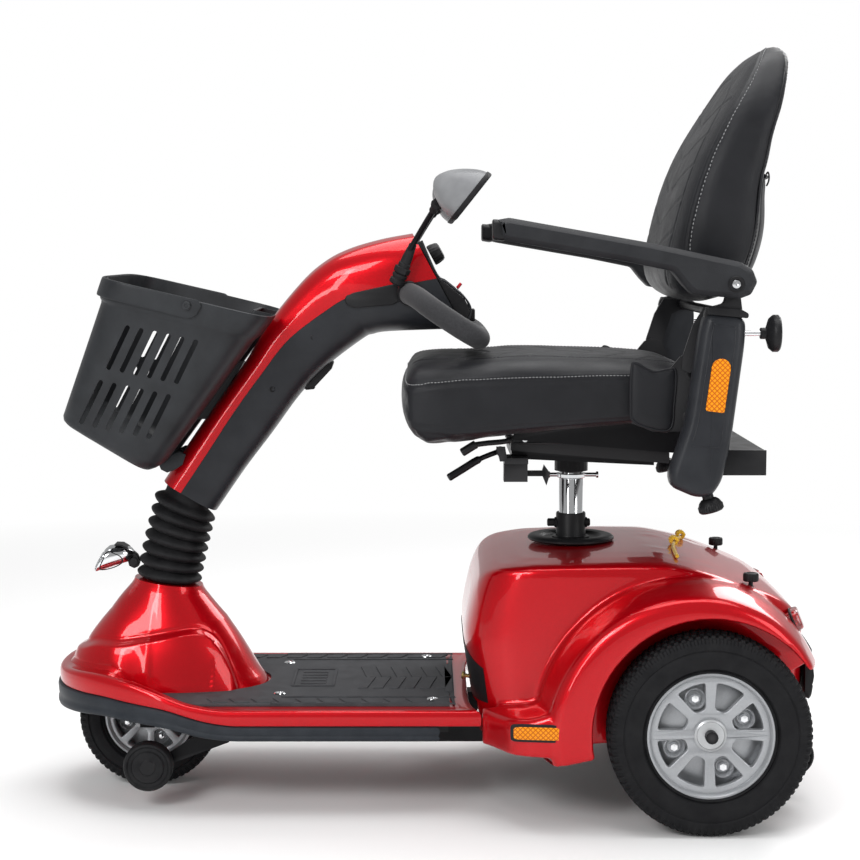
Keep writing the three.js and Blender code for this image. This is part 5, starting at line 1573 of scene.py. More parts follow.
# ---------------------------------------------------------------- mirrors
def mirrors():
    """Mirror heads with rim and glass, on bent rods clamped to the tiller."""
    depth_way = Vector((-0.78, 0, 0.62)).normalized()
    up_way = Vector((0.62, 0, 0.78)).normalized()
    shells = curve_through([(0, 42, 60), (3, 43, 61), (18, 40, 56), (36, 31, 44), (50, 20, 29), (58, 9, 13),
                            (60.5, 2, 3)], 6)
    for s, side in SIDES:
        centre = Vector((60, s * 222, 949))

        def section(d, a, b, n=2.5, count=72, centre=centre, s=s):
            ring = []
            for u, v in super_ellipse(count, a, b, n):
                p = centre + depth_way * d + up_way * (u - 0.18 * d)
                ring.append((p.x, p.y + v - s * d * 0.28, p.z))
            return ring

        stem, head = f"mirror_stem_{side}", f"mirror_head_{side}"
        back = [section(*row) for row in shells if row[0] > 4.5]
        front = [section(4.5, shells[9][1] - 1.5, shells[9][2] - 1.5)]
        place(make(f"mirror_shell_{side}", *skin(front + back)), head, MIRROR_SHELL, "grey_shell", [head], 50)
        rim = [section(*row) for row in ((5.5, 42.2, 60.2), (5, 44.2, 62.2), (0, 44.0, 62.0), (-2.6, 42.6, 60.6),
                                         (-3.2, 40.5, 58.5), (-2.4, 39.2, 57.2), (0.4, 39.0, 57.0), (2, 39.0, 57.0))]
        place(make(f"mirror_rim_{side}", *skin(rim, tube=True)), head, RUBBER, "rubber", degrees=60)
        glass = [section(*row) for row in ((0.4, 39.4, 57.4), (-0.6, 39.4, 57.4), (-1.0, 38.6, 56.6))]
        place(make(f"mirror_glass_{side}", *skin(glass)), head, GLASS, "chrome", degrees=20)
        clamp_way = Vector((12, s * 4, 28)).normalized()
        base = Vector((-54, s * 103.3, 819))
        clamp = lathe("clamp", [(0.01, -2), (10, -2), (12.6, 0), (12.6, 6), (10.5, 8), (10.5, 10), (12.0, 11),
                                (12.0, 15), (9.0, 16.5), (9.0, 17), (0.01, 17)], base, clamp_way, 48)
        nut = lathe("nut", [(0.01, 17), (11.5, 17), (12.8, 18), (12.8, 26), (11.5, 27), (0.01, 27)],
                    base, clamp_way, 6)
        sleeve = lathe("sleeve", [(0.01, 27), (9.6, 27), (9.6, 33), (8.4, 34), (8.2, 44), (6.6, 58), (5.8, 66),
                                  (0.01, 66)], base, clamp_way, 48)
        place(join_objects(f"mirror_clamp_{side}", [clamp, nut, sleeve]), stem, RUBBER, "black_plastic", degrees=35)
        rod = tube(f"mirror_rod_{side}", [(-44, s * 107, 846), (-32, s * 114, 872), (-18, s * 135, 896),
                                          (6, s * 188, 935)], 4.6, 24, 10)
        place(rod, stem, STEEL, "black_plastic", [stem], 60)
        joint_way = Vector((24, s * 53, 39)).normalized()
        ball = lathe(f"mirror_joint_{side}", [(0.01, -12), (5.4, -12), (6.6, -10), (6.6, 0), (8.5, 2), (9.5, 6),
                                              (8.0, 11), (0.01, 13)], (6, s * 188, 935), joint_way, 32)
        place(ball, stem, RUBBER, "black_plastic", degrees=50)


basket()
basket_carry_handle()
tiller_fittings()
mirrors()


# ---------------------------------------------------------------- upholstery helpers
def normals(obj):
    made = np.empty(len(obj.data.vertices) * 3, np.float32)
    obj.data.vertices.foreach_get("normal", made)
    return made.reshape(-1, 3).astype(float)


def near_lines(points, lines):
    """Distance in metres from each point to the nearest of some lines given in millimetres."""
    best = np.full(len(points), 1e9)
    for line in lines:
        path = np.array(line, float) * MM
        low, high = path.min(0) - 0.02, path.max(0) + 0.02
        pick = np.where(((points > low) & (points < high)).all(1))[0]
        spots = points[pick]
        reach = best[pick]
        for a, b in zip(path[:-1], path[1:]):
            run = b - a
            share = np.clip(((spots - a) @ run) / max(run @ run, 1e-12), 0, 1)
            reach = np.minimum(reach, np.linalg.norm(spots - (a + share[:, None] * run), axis=1))
        best[pick] = reach
    return best


SWELL_FRAMES = 20
SWELL_LIMIT = 7.0


def puff(obj, pinned):
    """Swells the cover under air pressure with its seam lines held, and moves no point past the limit."""
    start = coordinates(obj)
    group = obj.vertex_groups.new(name="seams")
    hold = near_lines(start, pinned) < 0.0045
    group.add([int(i) for i in np.where(hold)[0]], 1.0, "REPLACE")
    mod = obj.modifiers.new("cloth", "CLOTH")
    cover = mod.settings
    cover.quality = 4
    cover.mass = 0.3
    cover.use_pressure = True
    cover.uniform_pressure_force = 4.0
    cover.vertex_group_mass = "seams"
    cover.pin_stiffness = 1.0
    cover.effector_weights.gravity = 0.0
    mod.collision_settings.use_collision = False
    mod.point_cache.frame_start = 1
    mod.point_cache.frame_end = SWELL_FRAMES
    for step in range(1, SWELL_FRAMES + 1):
        scene.frame_set(step)
    graph = bpy.context.evaluated_depsgraph_get()
    swollen = obj.evaluated_get(graph)
    made = np.empty(len(start) * 3, np.float32)
    swollen.data.vertices.foreach_get("co", made)
    moved = made.reshape(-1, 3).astype(float) - start
    obj.modifiers.clear()
    obj.vertex_groups.clear()
    scene.frame_set(1)
    far = np.linalg.norm(moved, axis=1)
    limit = SWELL_LIMIT * MM
    keep = np.where(far > 1e-9, limit * np.tanh(far / limit) / np.maximum(far, 1e-9), 1.0)
    set_coordinates(obj, start + moved * keep[:, None])


def sew(obj, lines, depth, width):
    """Presses seam lines into the cover as rounded grooves with a slight pucker beside them."""
    points = coordinates(obj)
    reach = near_lines(points, lines) / MM
    pucker = 1 + 0.22 * np.sin(points[:, 0] * 420) * np.sin(points[:, 1] * 390 + points[:, 2] * 410)
    push = -depth * np.exp(-(reach / width) ** 2) * pucker
    push += 0.28 * depth * np.exp(-((reach - 2.6 * width) / width) ** 2)
    set_coordinates(obj, points + normals(obj) * push[:, None] * MM)


def on_surface(obj, line, lift=0.0, count=None):
    """The line laid onto the surface of a piece, lifted a little, with the surface normals."""
    path = np.array(line, float)
    if count:
        path = even(path, count, closed=False)
    spots, ways = [], []
    for p in path:
        spot, way = obj.closest_point_on_mesh(Vector(p) * MM)[1:3]
        spots.append(tuple((spot + way * lift * MM) / MM))
        ways.append(way)
    return spots, ways


def upholster(cover, body, node, held, soft, count, seam_depth, quilt_depth):
    def laid(lines, points):
        return [on_surface(cover, line, 0, points)[0] for line in lines]

    puff(cover, laid(held, count) + laid(soft, 40))
    subdivide(cover)
    seams, quilting = laid(held, 120), laid(soft, 70)
    sew(cover, seams[:4], seam_depth, 2.2)
    sew(cover, seams[4:] + quilting, quilt_depth, 2.4)
    place(cover, body, VINYL, "vinyl", [node], 80)


def smoothed(lines):
    return [[tuple(p) for p in curve_through(line, 6)] for line in lines]


def mirrored(line):
    """A line given for one side, on both sides."""
    return [[(x, s * y, z) for x, y, z in line] for s in (1, -1)]


def stitches(name, obj, lines, pitch, length, radius):
    """Rows of short raised threads laid along lines on the cover."""
    verts, faces = [], []
    for line in lines:
        path = np.array(line, float)
        total = float(np.linalg.norm(np.diff(path, axis=0), axis=1).sum())
        count = max(2, int(total / pitch))
        spots, ways = on_surface(obj, line, 0.0, count)
        for i in range(count - 1):
            a, b = Vector(spots[i]), Vector(spots[i + 1])
            run = (b - a).normalized()
            up = ways[i]
            side = run.cross(up).normalized()
            first = len(verts)
            for share, fat in ((0.0, 0.25), (0.18, 0.9), (0.5, 1.0), (0.82, 0.9), (1.0, 0.25)):
                middle = a + run * length * share + up * radius * (0.9 * fat - 0.35)
                for k in range(6):
                    t = math.pi * k / 3
                    verts.append(tuple(middle + (side * math.cos(t) + up * math.sin(t)) * radius * fat))
            for r in range(4):
                for k in range(6):
                    j = (k + 1) % 6
                    faces.append((first + r * 6 + k, first + r * 6 + j, first + r * 6 + 6 + j, first + r * 6 + 6 + k))
            faces.append(tuple(first + k for k in range(5, -1, -1)))
            faces.append(tuple(first + 24 + k for k in range(6)))
    return make(name, verts, faces)


def piping(name, obj, lines, radius, lift=0.0):
    """Welt cords along lines on the cover."""
    cords = []
    for line in lines:
        total = float(np.linalg.norm(np.diff(np.array(line, float), axis=0), axis=1).sum())
        spots = np.array(on_surface(obj, line, lift, max(8, int(total / 9)))[0])
        for _ in range(12):
            spots[1:-1] = (spots[:-2] + 2 * spots[1:-1] + spots[2:]) / 4
        cords.append(tube("welt", spots, lambda t: radius * min(1, 0.3 + 30 * min(t, 1 - t)), 10, 2))
    return join_objects(name, cords)


# ---------------------------------------------------------------- seat cushion
CUSHION = [(-45, 620, 668, 196), (-40, 596, 688, 212), (-26, 580, 700, 222), (12, 579, 705, 228),
           (70, 585, 706, 229), (130, 592, 711, 229), (200, 599, 714, 229), (270, 606, 713, 229),
           (330, 611, 710, 228), (370, 611, 706, 224), (392, 616, 698, 214), (398, 630, 684, 204)]


def seat_cushion():
    """A padded block, remeshed, swollen between its seams and stitched."""
    inset = 3.2
    rings = []
    stations = curve_through(CUSHION, 6)
    for k, (x, low, high, half) in enumerate(stations):
        ends = 1 - abs(2 * k / (len(stations) - 1) - 1) ** 12
        high += 5 * smooth_step((230 - x) / 110) * smooth_step((x + 42) / 20)
        x = lerp(x, 176, inset / 222)
        mid, tall, wide = (low + high) / 2, (high - low) / 2 - inset * 0.9 * ends, half - inset
        ring = []
        upper, lower = super_ellipse(96, wide, tall, 4.2), super_ellipse(96, wide, tall, 7.0)
        for u, v in [b if b[1] < 0 else a for a, b in zip(upper, lower)]:
            shape = 3 * (1 - (abs(u) / wide) ** 2) if v > 0 else 8 * smooth_step((abs(u) / wide - 0.74) / 0.2)
            ring.append((x, u, mid + v - shape * smooth_step((x + 45) / 40)))
        rings.append(ring)
    cushion = make("seat_cushion_cover", *skin(rings))
    remesh(cushion, 6.0)
    edge = [(-42, 0, 682), (-42, -70, 680), (-42, -140, 674), (-40, -190, 667), (-33, -218.09, 664), (0, -226, 668),
            (43, -226, 672), (100, -226, 674.5), (163, -226, 676), (230, -226, 678), (300, -226, 679),
            (360, -226, 677), (392, -226, 668)]
    panel = [(-30, -120, 700), (10, -138, 707), (60, -150, 706), (150, -158, 710), (300, -160, 712),
             (390, -152, 700)]
    low_side = [(-30, -224, 606), (60, -224, 602), (160, -224, 609), (260, -224, 615), (380, -224, 622)]
    held = smoothed(mirrored(edge) + mirrored(panel) + mirrored(low_side))
    soft = smoothed([(x, -152, 706), (x + 26, -76, 704), (x + 50, 0, 703), (x + 26, 76, 704), (x, 152, 706)]
                    for x in range(40, 321, 56))
    upholster(cushion, "seat", "seat_cushion", held, soft, 60, 1.9, 1.2)
    beside = [[(x, y, z + 4.6) for x, y, z in line] for line in held[:2]]
    place(stitches("seat_side_stitching", cushion, beside, 5.2, 3.5, 0.62), "seat", THREAD, "vinyl")
    inner = [[(x, y * 1.03, z) for x, y, z in line] for line in held[2:4]]
    place(stitches("seat_panel_stitching", cushion, inner, 5.6, 3.6, 0.5), "seat", DARK_THREAD, "vinyl")


def seat_side_covers():
    """Padded flap over each hinge with its welt, and the hinge bolts."""
    outline = [(300, 618), (322, 606), (356, 603), (362, 640), (364, 690), (352, 693), (330, 690), (304, 703),
               (298, 694), (297, 640)]
    loop = [tuple(p) for p in curve_through(outline, 5, closed=True)]
    middle = np.mean(np.array(loop), axis=0)
    for s, side in SIDES:
        layers = ((0.99, 229), (1.0, 232), (1.0, 234.5), (0.985, 236.6), (0.94, 238.4), (0.86, 239.8), (0.6, 241.0),
                  (0.3, 241.4))
        rings = [[(lerp(middle[0], x, grow), s * out, lerp(middle[1], z, grow)) for x, z in loop]
                 for grow, out in layers]
        flap = make(f"seat_flap_{side}", *skin(rings))
        place(flap, "seat", VINYL, "vinyl", degrees=60)
        welt = tube(f"seat_flap_welt_{side}", [(x, s * 236.2, z) for x, z in loop], 1.9, 10, 1, closed=True,
                    smooth_path=False)
        place(welt, "seat", VINYL, "vinyl")
        bolts = []
        for x, z in ((389, 688), (386, 622)):
            bolts.append(lathe("bolt", [(0.01, 0), (10, 0), (11, 1), (11, 3), (8.5, 4.6), (5.5, 4.6), (5.0, 3.0),
                                        (0.01, 3.0)], (x, s * 235.5, z), (0, s, 0), 36))
        place(join_objects(f"seat_hinge_bolts_{side}", bolts), "seat", STEEL, "steel_black", degrees=30)
        hinge = lathe(f"back_hinge_bolt_{side}", [(0.01, 0), (9, 0), (10, 1), (10, 2.6), (7.5, 4), (0.01, 4.2)],
                      (441, s * 242, 776), (0, s, 0), 36)
        place(hinge, "backrest", STEEL, "steel_black", degrees=30)


# ---------------------------------------------------------------- backrest
BACKREST = [(398, 788, 448, 800, 150), (362, 806, 476, 822, 190), (347, 838, 495, 858, 212),
            (349, 886, 506, 904, 220), (360, 934, 508, 950, 222), (377, 986, 513, 998, 222),
            (396, 1028, 520, 1040, 218), (424, 1076, 533, 1086, 208), (452, 1115, 541, 1124, 190),
            (482, 1156, 546, 1158, 160), (506, 1178, 543, 1176, 122), (522, 1185, 536, 1183, 70)]


def backrest():
    """A tall padded shell that is hollow in front, with piping behind and a map pocket."""
    inset = 4.5
    rings = []
    for fx, fz, rx, rz, half in curve_through(BACKREST, 6):
        pocket = smooth_step((fz - 800) / 50) * smooth_step((1000 - fz) / 40)
        front, rear = Vector((fx, 0, fz)), Vector((rx, 0, rz))
        across = (rear - front).normalized()
        front, rear = front + across * inset, rear - across * (2.0 + 5 * pocket)
        middle, deep, wide = (front + rear) / 2, (rear - front).length / 2, half - inset
        ring = []
        round_edge, square_edge = super_ellipse(96, deep, wide, 3.4), super_ellipse(96, deep, wide, 6.0)
        for u, v in [b if b[0] > 0 else a for a, b in zip(round_edge, square_edge)]:
            hollow = 9 * (1 - (v / wide) ** 2) if u < 0 else 0
            p = middle + across * (u + hollow * smooth_step((fz - 830) / 80) * smooth_step((1150 - fz) / 80))
            ring.append((p.x, v, p.z))
        rings.append(ring)
    back = make("backrest_cover", *skin(rings))
    remesh(back, 6.0)
    crease = [(374, -214, 845), (372, -216, 880), (378, -217, 922), (388, -217, 960), (404, -215, 1009),
              (424, -210, 1056), (445, -200, 1096), (470, -180, 1128), (492, -148, 1158), (508, -100, 1178),
              (514, -50, 1184), (516, 0, 1185)]
    edge = [(470, -196, 826), (486, -207, 860), (493, -212, 905), (496, -213, 950), (501, -211, 998),
            (509, -206, 1040), (520, -196, 1084), (529, -176, 1122), (535, -146, 1154), (534, -108, 1172),
            (532, -55, 1181), (531, 0, 1183)]
    panel = [(372, -130, 822), (356, -150, 850), (352, -160, 890), (362, -164, 935), (378, -162, 985),
             (398, -152, 1030), (426, -132, 1076), (452, -100, 1112), (470, -50, 1134), (476, 0, 1140)]
    held = smoothed(mirrored(crease) + mirrored(edge) + mirrored(panel))
    quilting = []
    for z in range(870, 1079, 52):
        x = along([(fz, fx) for fx, fz, *_ in BACKREST[2:9]], z)
        quilting.append([(x + 14, -156, z + 30), (x + 6, -80, z + 12), (x, 0, z - 8), (x + 6, 80, z + 12),
                         (x + 14, 156, z + 30)])
    upholster(back, "backrest", "backrest_cushion", held, smoothed(quilting), 70, 2.0, 1.3)
    behind = [[(x + 7.5, y, z - 1.5) for x, y, z in line] for line in held[:2]]
    place(stitches("backrest_stitching", back, behind, 6.4, 4.0, 0.75), "backrest", THREAD, "vinyl")
    place(piping("backrest_piping", back, held[2:4], 2.1, 0.6), "backrest", VINYL, "vinyl")
    outer = [[(x + 7, y * 0.985, z) for x, y, z in line] for line in held[2:4]]
    place(stitches("backrest_rear_stitching", back, outer, 6.4, 4.0, 0.5), "backrest", DARK_THREAD, "vinyl")
    map_pocket(back)


def map_pocket(back):
    """Gathered pouch on the back, with an elastic top hem and a pull loop."""
    columns, rows = 61, 44
    top, bottom = 982, 818
    grid = []
    for j in range(rows):
        share = j / (rows - 1)
        z = lerp(bottom, top, share)
        line = []
        for i in range(columns):
            u = -1 + 2 * i / (columns - 1)
            wide = 158 * (1 - 0.05 * share)
            y = u * wide
            spot = back.ray_cast(Vector((700, y, z)) * MM, Vector((-1, 0, 0)))[1]
            hang = math.sin(math.pi * min(1.0, 0.10 + 0.62 * (1 - share))) ** 0.8
            edge = (1 - abs(u) ** 5) * smooth_step(share / 0.07 + 0.04)
            gather = 1.3 * math.sin(u * 46) * share ** 2 + 0.7 * math.sin(u * 19 + 3 * share)
            line.append((spot.x / MM + 1.6 + edge * (14.0 * hang + gather), y, z))
        grid.append(line)
    verts = [p for line in grid for p in line]
    faces = []
    for j in range(rows - 1):
        for i in range(columns - 1):
            a = j * columns + i
            faces.append((a, a + 1, a + columns + 1, a + columns))
    pouch = thicken(make("map_pocket", verts, faces), 1.8)
    tidy(pouch)
    subdivide(pouch)
    place(pouch, "backrest", VINYL, "vinyl", degrees=70)
    hem = tube("map_pocket_hem", grid[-1], lambda t: 3.3 + 0.5 * math.sin(t * 130), 12, 3)
    place(hem, "backrest", VINYL, "vinyl", degrees=70)
    x0 = grid[-1][8][0]
    loop = tube("map_pocket_loop", [(x0 - 1, -122, 984), (x0 + 2, -125, 989), (x0 + 4, -124, 983),
                                    (x0 + 4, -120, 975), (x0 + 1, -119, 968)], 1.3, 10, 6)
    place(loop, "backrest", RUBBER, "rubber")


seat_cushion()
seat_side_covers()
backrest()


# ---------------------------------------------------------------- armrests
PANEL = [(400, 779), (460, 773), (459, 734), (441, 590), (428, 530), (413, 508), (390, 506), (353, 522), (349, 540),
         (374, 617), (393, 753)]
PAD = [(95, 914), (99, 887), (112, 883), (276, 855), (350, 840), (366, 820), (380, 806), (448, 800), (464, 806),
       (473, 824), (466, 842), (448, 853), (315, 881), (112, 917)]


def rounded(outline, radius, steps=5):
    """The outline with its corners rounded."""
    points = []
    count = len(outline)
    for i in range(count):
        before, at, after = (Vector((*outline[(i + k) % count], 0)) for k in (-1, 0, 1))
        reach = min(radius, (before - at).length * 0.45, (after - at).length * 0.45)
        a = at + (before - at).normalized() * reach
        b = at + (after - at).normalized() * reach
        for k in range(steps + 1):
            t = k / steps
            p = a * (1 - t) ** 2 + at * 2 * t * (1 - t) + b * t ** 2
            points.append((p.x, p.y))
    return points


def mirror_side(obj, side):
    """A piece made for the right side, turned over for the left."""
    if side < 0:
        obj.data.transform(Matrix.Diagonal((1, -1, 1, 1)))
        obj.data.flip_normals()
    return obj


def inset_outline(outline, amount):
    """The outline moved inwards along its own normals."""
    p = np.array(outline, float)
    run = np.roll(p, -1, 0) - np.roll(p, 1, 0)
    run /= np.maximum(np.linalg.norm(run, axis=1, keepdims=True), 1e-9)
    way = np.stack([-run[:, 1], run[:, 0]], axis=1)
    area = np.sum(p[:, 0] * np.roll(p[:, 1], -1) - np.roll(p[:, 0], -1) * p[:, 1])
    return [tuple(v) for v in p + way * amount * (1 if area > 0 else -1)]


def armrest_panel(s, side):
    """Side guard: a smooth moulded shell with a shallow framed field and an amber reflector."""
    outline = even(rounded(PANEL, 16), 160)
    rings = [[(x, y, z) for x, z in inset_outline(outline, inset)] for inset, y in (
        (10, 252), (3, 252.5), (0.8, 254.5), (0, 258), (0, 276), (0.6, 281), (2.4, 285.5), (5.5, 289),
        (9.5, 291.2), (13, 292))]
    panel = mirror_side(make(f"armrest_panel_shell_{side}", *skin(rings)), s)
    place(panel, "seat", SHELL, "grey_shell", [f"armrest_panel_{side}"], 35)
    line = [(x, s * 291.8, z) for x, z in inset_outline(outline, 16.2) if z > 580]
    trim = tube(f"armrest_panel_line_{side}", line, 0.8, 8, 1, closed=True, smooth_path=False)
    place(trim, "seat", SHELL, "grey_shell")
    top, bottom = Vector((423, 698.5)), Vector((415, 637.5))
    along_way = (top - bottom).normalized()
    across = Vector((along_way.y, -along_way.x))
    shape = []
    for i in range(15):
        t = math.pi * i / 14
        shape.append(top + across * 14 * math.cos(t) + along_way * 14 * math.sin(t))
    for u, v in ((-14, 0), (-13.2, -2.4), (-11, -3.2), (11, -3.2), (13.2, -2.4), (14, 0)):
        shape.append(bottom + across * u + along_way * v)
    middle = (top + bottom) / 2
    rings = []
    for scale, y in ((1.0, 290.5), (1.0, 292.6), (0.97, 293.4), (0.5, 293.5)):
        rings.append([(middle.x + (p.x - middle.x) * scale, y, middle.y + (p.y - middle.y) * scale) for p in shape])
    sticker = mirror_side(make(f"armrest_reflector_{side}", *skin(rings)), s)
    place(sticker, "seat", AMBER, "lens_red", degrees=30)
    tongue = side_plate(f"armrest_tongue_{side}", rounded([(398, 770), (456, 770), (452, 800), (450, 816), (433, 816),
                                                          (428, 792), (402, 786)], 6, 4), 262, 282, 1.5, 3)
    place(mirror_side(tongue, s), "seat", BLACK, "black_plastic", degrees=35)
    socket = rounded([(402, 777), (462, 771), (463, 778), (452, 784), (404, 788)], 3, 3)
    cap = side_plate(f"armrest_socket_{side}", socket, 255, 289, 2.5, 3)
    place(mirror_side(cap, s), "seat", BLACK, "black_plastic", degrees=35)


def armrest_pad(s, side):
    """Foam arm pad with chamfered edges; it swings on a bolt at its back end."""
    outline = even(rounded(PAD, 3.5), 260)
    rings = []
    for inset, y in ((6.0, 252), (4.8, 252.4), (0.7, 257.0), (0, 258.5), (0, 279), (0, 296), (0.6, 297.6),
                     (6.4, 304.4), (7.8, 305.7), (9.5, 306)):
        relief = 8 * smooth_step((279 - y) / 27)
        rings.append([(x + relief * smooth_step((135 - x) / 45), y, z) for x, z in inset_outline(outline, inset)])
    pad = make(f"armrest_pad_skin_{side}", *skin(rings))
    boolean(pad, side_plate("notch", [(386, 778), (492, 778), (492, 868), (404, 868), (390, 850)], 259.5, 284.5))
    mirror_side(pad, s)
    place(pad, f"armrest_{side}", PAD_SKIN, "grey_shell", [f"armrest_pad_{side}"], 32)
    tip = ((89, 900, 14, 9), (88.4, 900, 19, 13), (90, 900, 22, 15), (102, 898.6, 23.5, 15.5), (106, 898, 22, 14))
    collar = make(f"armrest_tip_{side}", *skin([
        [(x, 279 + u, z + v) for u, v in super_ellipse(40, wide, tall, 4)] for x, z, wide, tall in tip]))
    place(mirror_side(collar, s), f"armrest_{side}", BLACK, "black_plastic", degrees=40)
    hinge = (441, s * 306, 821)
    ring = lathe("ring", [(7.0, -2), (12.0, -2), (12.0, 1.2), (11.0, 2.2), (8.0, 2.2), (7.0, 1.0), (7.0, -2)],
                 hinge, (0, s, 0), 48)
    place(join_objects(f"armrest_bolt_ring_{side}", [ring]), f"armrest_{side}", BLACK, "black_plastic", degrees=35)
    head = lathe("head", [(0.01, -50), (5.2, -50), (5.2, -3), (6.9, -3), (6.9, 1.2), (5.8, 2.4), (2.2, 2.8),
                          (1.8, 1.4), (0.01, 1.4)], hinge, (0, s, 0), 30,
                 lambda t, r, h: r * (0.87 if 3 < r < 3.3 and math.cos(6 * t) < 0 else 1))
    place(head, f"armrest_{side}", CHROME, "chrome", degrees=35)


def knob_grip(name, origin, axis, radius, back, thick, rod_from, rod_radius, knurl):
    """A hand knob, smooth or knurled, on a plated stud."""
    top = back + thick
    grip = lathe(name, [
        (0.01, back - 9), (7.5, back - 9), (8.5, back - 8), (8.5, back - 1), (12, back + 0.5),
        (radius * 0.82, back + 4), (radius - 1.5, back + 8), (radius, back + 10), (radius, top - 3),
        (radius - 2.4, top - 0.6), (radius - 6, top), (radius - 8, top - 1.6), (0.01, top - 1.6)], origin, axis, 144,
        lambda t, r, h: r - (knurl * max(0, math.cos(24 * t)) ** 3 if r > radius - 0.5 else 0))
    stud = lathe(name + "_stud", [(0.01, rod_from)] + [
        (rod_radius - (0.5 if k % 2 else 0), lerp(rod_from, back - 8, k / 24)) for k in range(25)]
        + [(0.01, back - 8)], origin, axis, 24)
    return grip, stud


def armrest_knobs():
    for s, side in SIDES:
        (_, low, _), (_, high, _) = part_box(f"width_knob_{side}")
        for kind, origin, axis, sizes in (
                ("armrest_knob", (464, s * 262, 748), (1, 0, 0), (27.5, 29, 20, -6, 4.2, 0)),
                ("width_knob", (404.5, (low + high) / 2 / MM, 525), (12.9, 0, -43), (19, 24, 20, 2, 4.0, 1.1))):
            grip, stud = knob_grip(f"{kind}_grip_{side}", origin, axis, *sizes)
            place(grip, f"{kind}_{side}", BLACK, "black_plastic", [f"{kind}_{side}"])
            place(stud, f"{kind}_{side}", CHROME, "chrome", degrees=60)


def levers():
    """The swivel lever with its fatter grip and pivot, and the slide lever with its sleeve."""
    swivel = tube("swivel_lever_rod", [(107, -124, 559), (88, -133, 553), (70, -142, 546), (48, -147, 533),
                                       (26, -152, 520)],
                  lambda t: 4.1 + 1.9 * smooth_step((t - 0.42) / 0.05) - 1.2 * smooth_step((t - 0.985) / 0.015),
                  20, 10)
    pivot = lathe("pivot", [(0.01, -14), (6, -14), (7, -13), (7, 4), (6, 5), (0.01, 5)],
                  (107, -124, 559), (0, 1, 0), 28)
    place(join_objects("swivel_lever_rod", [swivel, pivot]), "swivel_lever", STEEL, "steel_black", ["swivel_lever"])
    slide = tube("slide_lever_rod", [(120, -121, 580), (120, -160, 580), (117, -171, 579.6), (105, -173, 578),
                                     (84, -172, 576), (62, -172, 573)], 4.2, 20, 8)
    grip = tube("grip", [(68, -172, 574.5), (62, -172, 571), (54, -172, 566), (46, -172, 561)],
                lambda t: 6.6 - 2.0 * smooth_step((t - 0.93) / 0.07), 24, 8)
    place(join_objects("slide_lever_rod", [slide, grip]), "slide_lever", BLACK, "black_plastic", ["slide_lever"], 40)


def seat_rails():
    """Rolled edges and bolt heads of the slide channels, and the end caps of the seat frame."""
    front, rear, slope = 128, 368, (571.5 - 566) / 250
    for s, side in SIDES:
        rolls = [tube("roll", [(front, s * 113.2, z), (rear, s * 113.2, z + (rear - front) * slope)], 1.7, 12, 2,
                      smooth_path=False) for z in (569, 581)]
        place(join_objects(f"rail_rolls_{side}", rolls), "seat", STEEL, "steel_black")
        heads = []
        for x in (146, 250, 352):
            heads.append(lathe("bolt", [(0.01, -2), (5.2, -2), (5.2, 1.6), (4.2, 2.6), (2.4, 2.6), (2.2, 1.2),
                                        (0.01, 1.2)], (x, s * 112, 575.5 + (x - front) * slope), (0, s, 0), 24))
        place(join_objects(f"rail_bolts_{side}", heads), "seat", CHROME, "chrome", degrees=30)
    caps = [box(f"frame_end_cap_{side}", (419, low, 536), (498.4, low + 2.6, 574), 0.8, 2)
            for low, side in ((-253.4, "left"), (250.8, "right"))]
    place(join_objects("frame_end_caps", caps), "seat", BLACK, "black_plastic")


def finish_cad_nodes():
    """The solids that keep their CAD shape get rounded edges and their own finish."""
    looks = {"frame": STEEL, "drive_unit": STEEL, "front_fork": STEEL, "tiller_mast": STEEL, "basket_bracket": STEEL,
             "swivel_base": STEEL, "seat_frame": STEEL, "backrest_frame": STEEL, "battery_pack": BLACK}
    for name, material in looks.items():
        obj = nodes[name]
        for slot in obj.material_slots:
            slot.material = material
        bevel(obj, 1.4, 2, 30)


for side_sign, side_name in SIDES:
    armrest_panel(side_sign, side_name)
    armrest_pad(side_sign, side_name)
armrest_knobs()
levers()
seat_rails()
finish_cad_nodes()


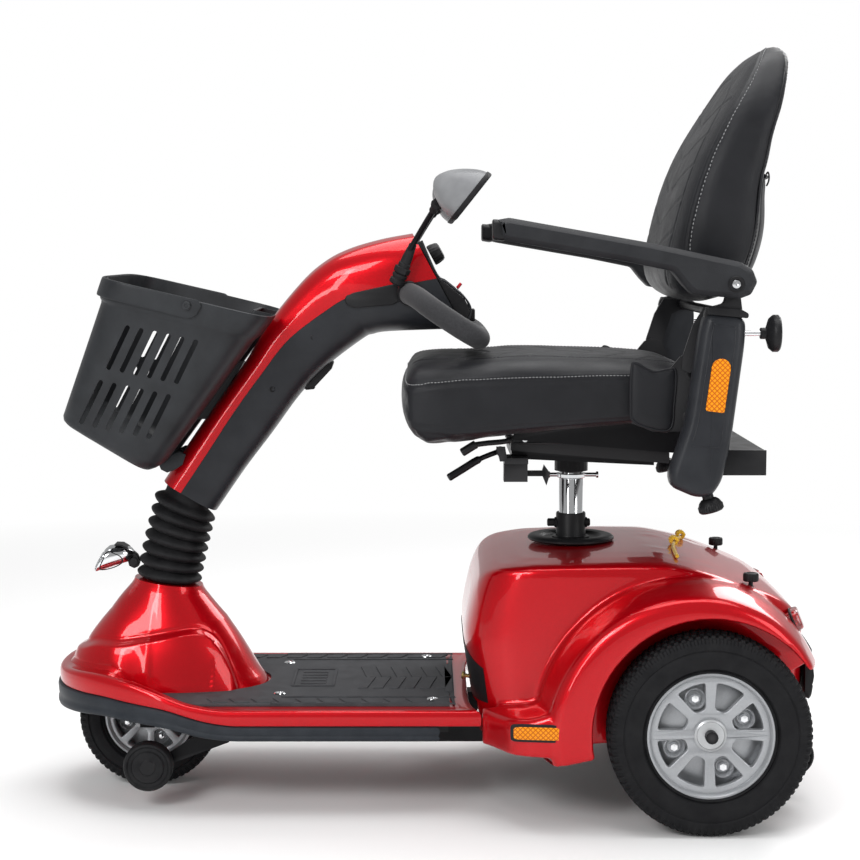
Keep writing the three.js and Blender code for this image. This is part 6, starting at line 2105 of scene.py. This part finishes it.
# ---------------------------------------------------------------- studio
def studio():
    """Pale floor that glows white further out, even world light and five soft lights."""
    mesh = bpy.data.meshes.new("floor")
    mesh.from_pydata([(-20, -20, 0), (20, -20, 0), (20, 20, 0), (-20, 20, 0)], [], [(0, 1, 2, 3)])
    floor = bpy.data.objects.new("floor", mesh)
    scene.collection.objects.link(floor)
    f = Finish("floor_pale", (0.86, 0.86, 0.86), 0.55)
    reach = f.node("ShaderNodeVectorMath", operation="LENGTH")
    f.link(f.place, reach.inputs[0])
    far = f.remap(reach.outputs["Value"], 1.2, 3.2)
    glow = f.node("ShaderNodeEmission")
    blend = f.node("ShaderNodeMixShader")
    output = f.tree.nodes["Material Output"]
    f.link(far, blend.inputs["Fac"])
    f.link(f.shader.outputs["BSDF"], blend.inputs[1])
    f.link(glow.outputs["Emission"], blend.inputs[2])
    f.link(blend.outputs["Shader"], output.inputs["Surface"])
    floor.data.materials.append(f.material)

    world = bpy.data.worlds.new("studio")
    scene.world = world
    world.use_nodes = True
    tree = world.node_tree
    soft = tree.nodes["Background"]
    soft.inputs["Color"].default_value = (1.0, 1.0, 1.0, 1.0)
    soft.inputs["Strength"].default_value = 0.42
    white = tree.nodes.new("ShaderNodeBackground")
    white.inputs["Strength"].default_value = 1.0
    white.inputs["Color"].default_value = (1.0, 1.0, 1.0, 1.0)
    rays = tree.nodes.new("ShaderNodeLightPath")
    blend = tree.nodes.new("ShaderNodeMixShader")
    tree.links.new(rays.outputs["Is Camera Ray"], blend.inputs["Fac"])
    tree.links.new(soft.outputs["Background"], blend.inputs[1])
    tree.links.new(white.outputs["Background"], blend.inputs[2])
    tree.links.new(blend.outputs["Shader"], tree.nodes["World Output"].inputs["Surface"])

    lights = (("key", (-1.7, -2.9, 2.4), (1.6, 1.0), 55.0), ("top", (0.2, 0.1, 3.2), (3.2, 2.6), 105.0),
              ("strip", (-1.35, -2.6, 1.25), (0.25, 1.8), 16.0), ("rim", (1.9, 2.2, 2.2), (1.6, 1.6), 45.0),
              ("fill", (2.4, -2.2, 1.3), (1.2, 1.6), 26.0))
    for name, place_at, (wide, tall), power in lights:
        lamp = bpy.data.lights.new(name, "AREA")
        lamp.shape = "RECTANGLE"
        lamp.size = wide
        lamp.size_y = tall
        lamp.energy = power
        lamp_object = bpy.data.objects.new(name, lamp)
        lamp_object.location = place_at
        aim = Vector((0, 0, 0.45)) - Vector(place_at)
        lamp_object.rotation_euler = aim.to_track_quat("-Z", "Y").to_euler()
        scene.collection.objects.link(lamp_object)
    scene.view_settings.view_transform = "Standard"


studio()
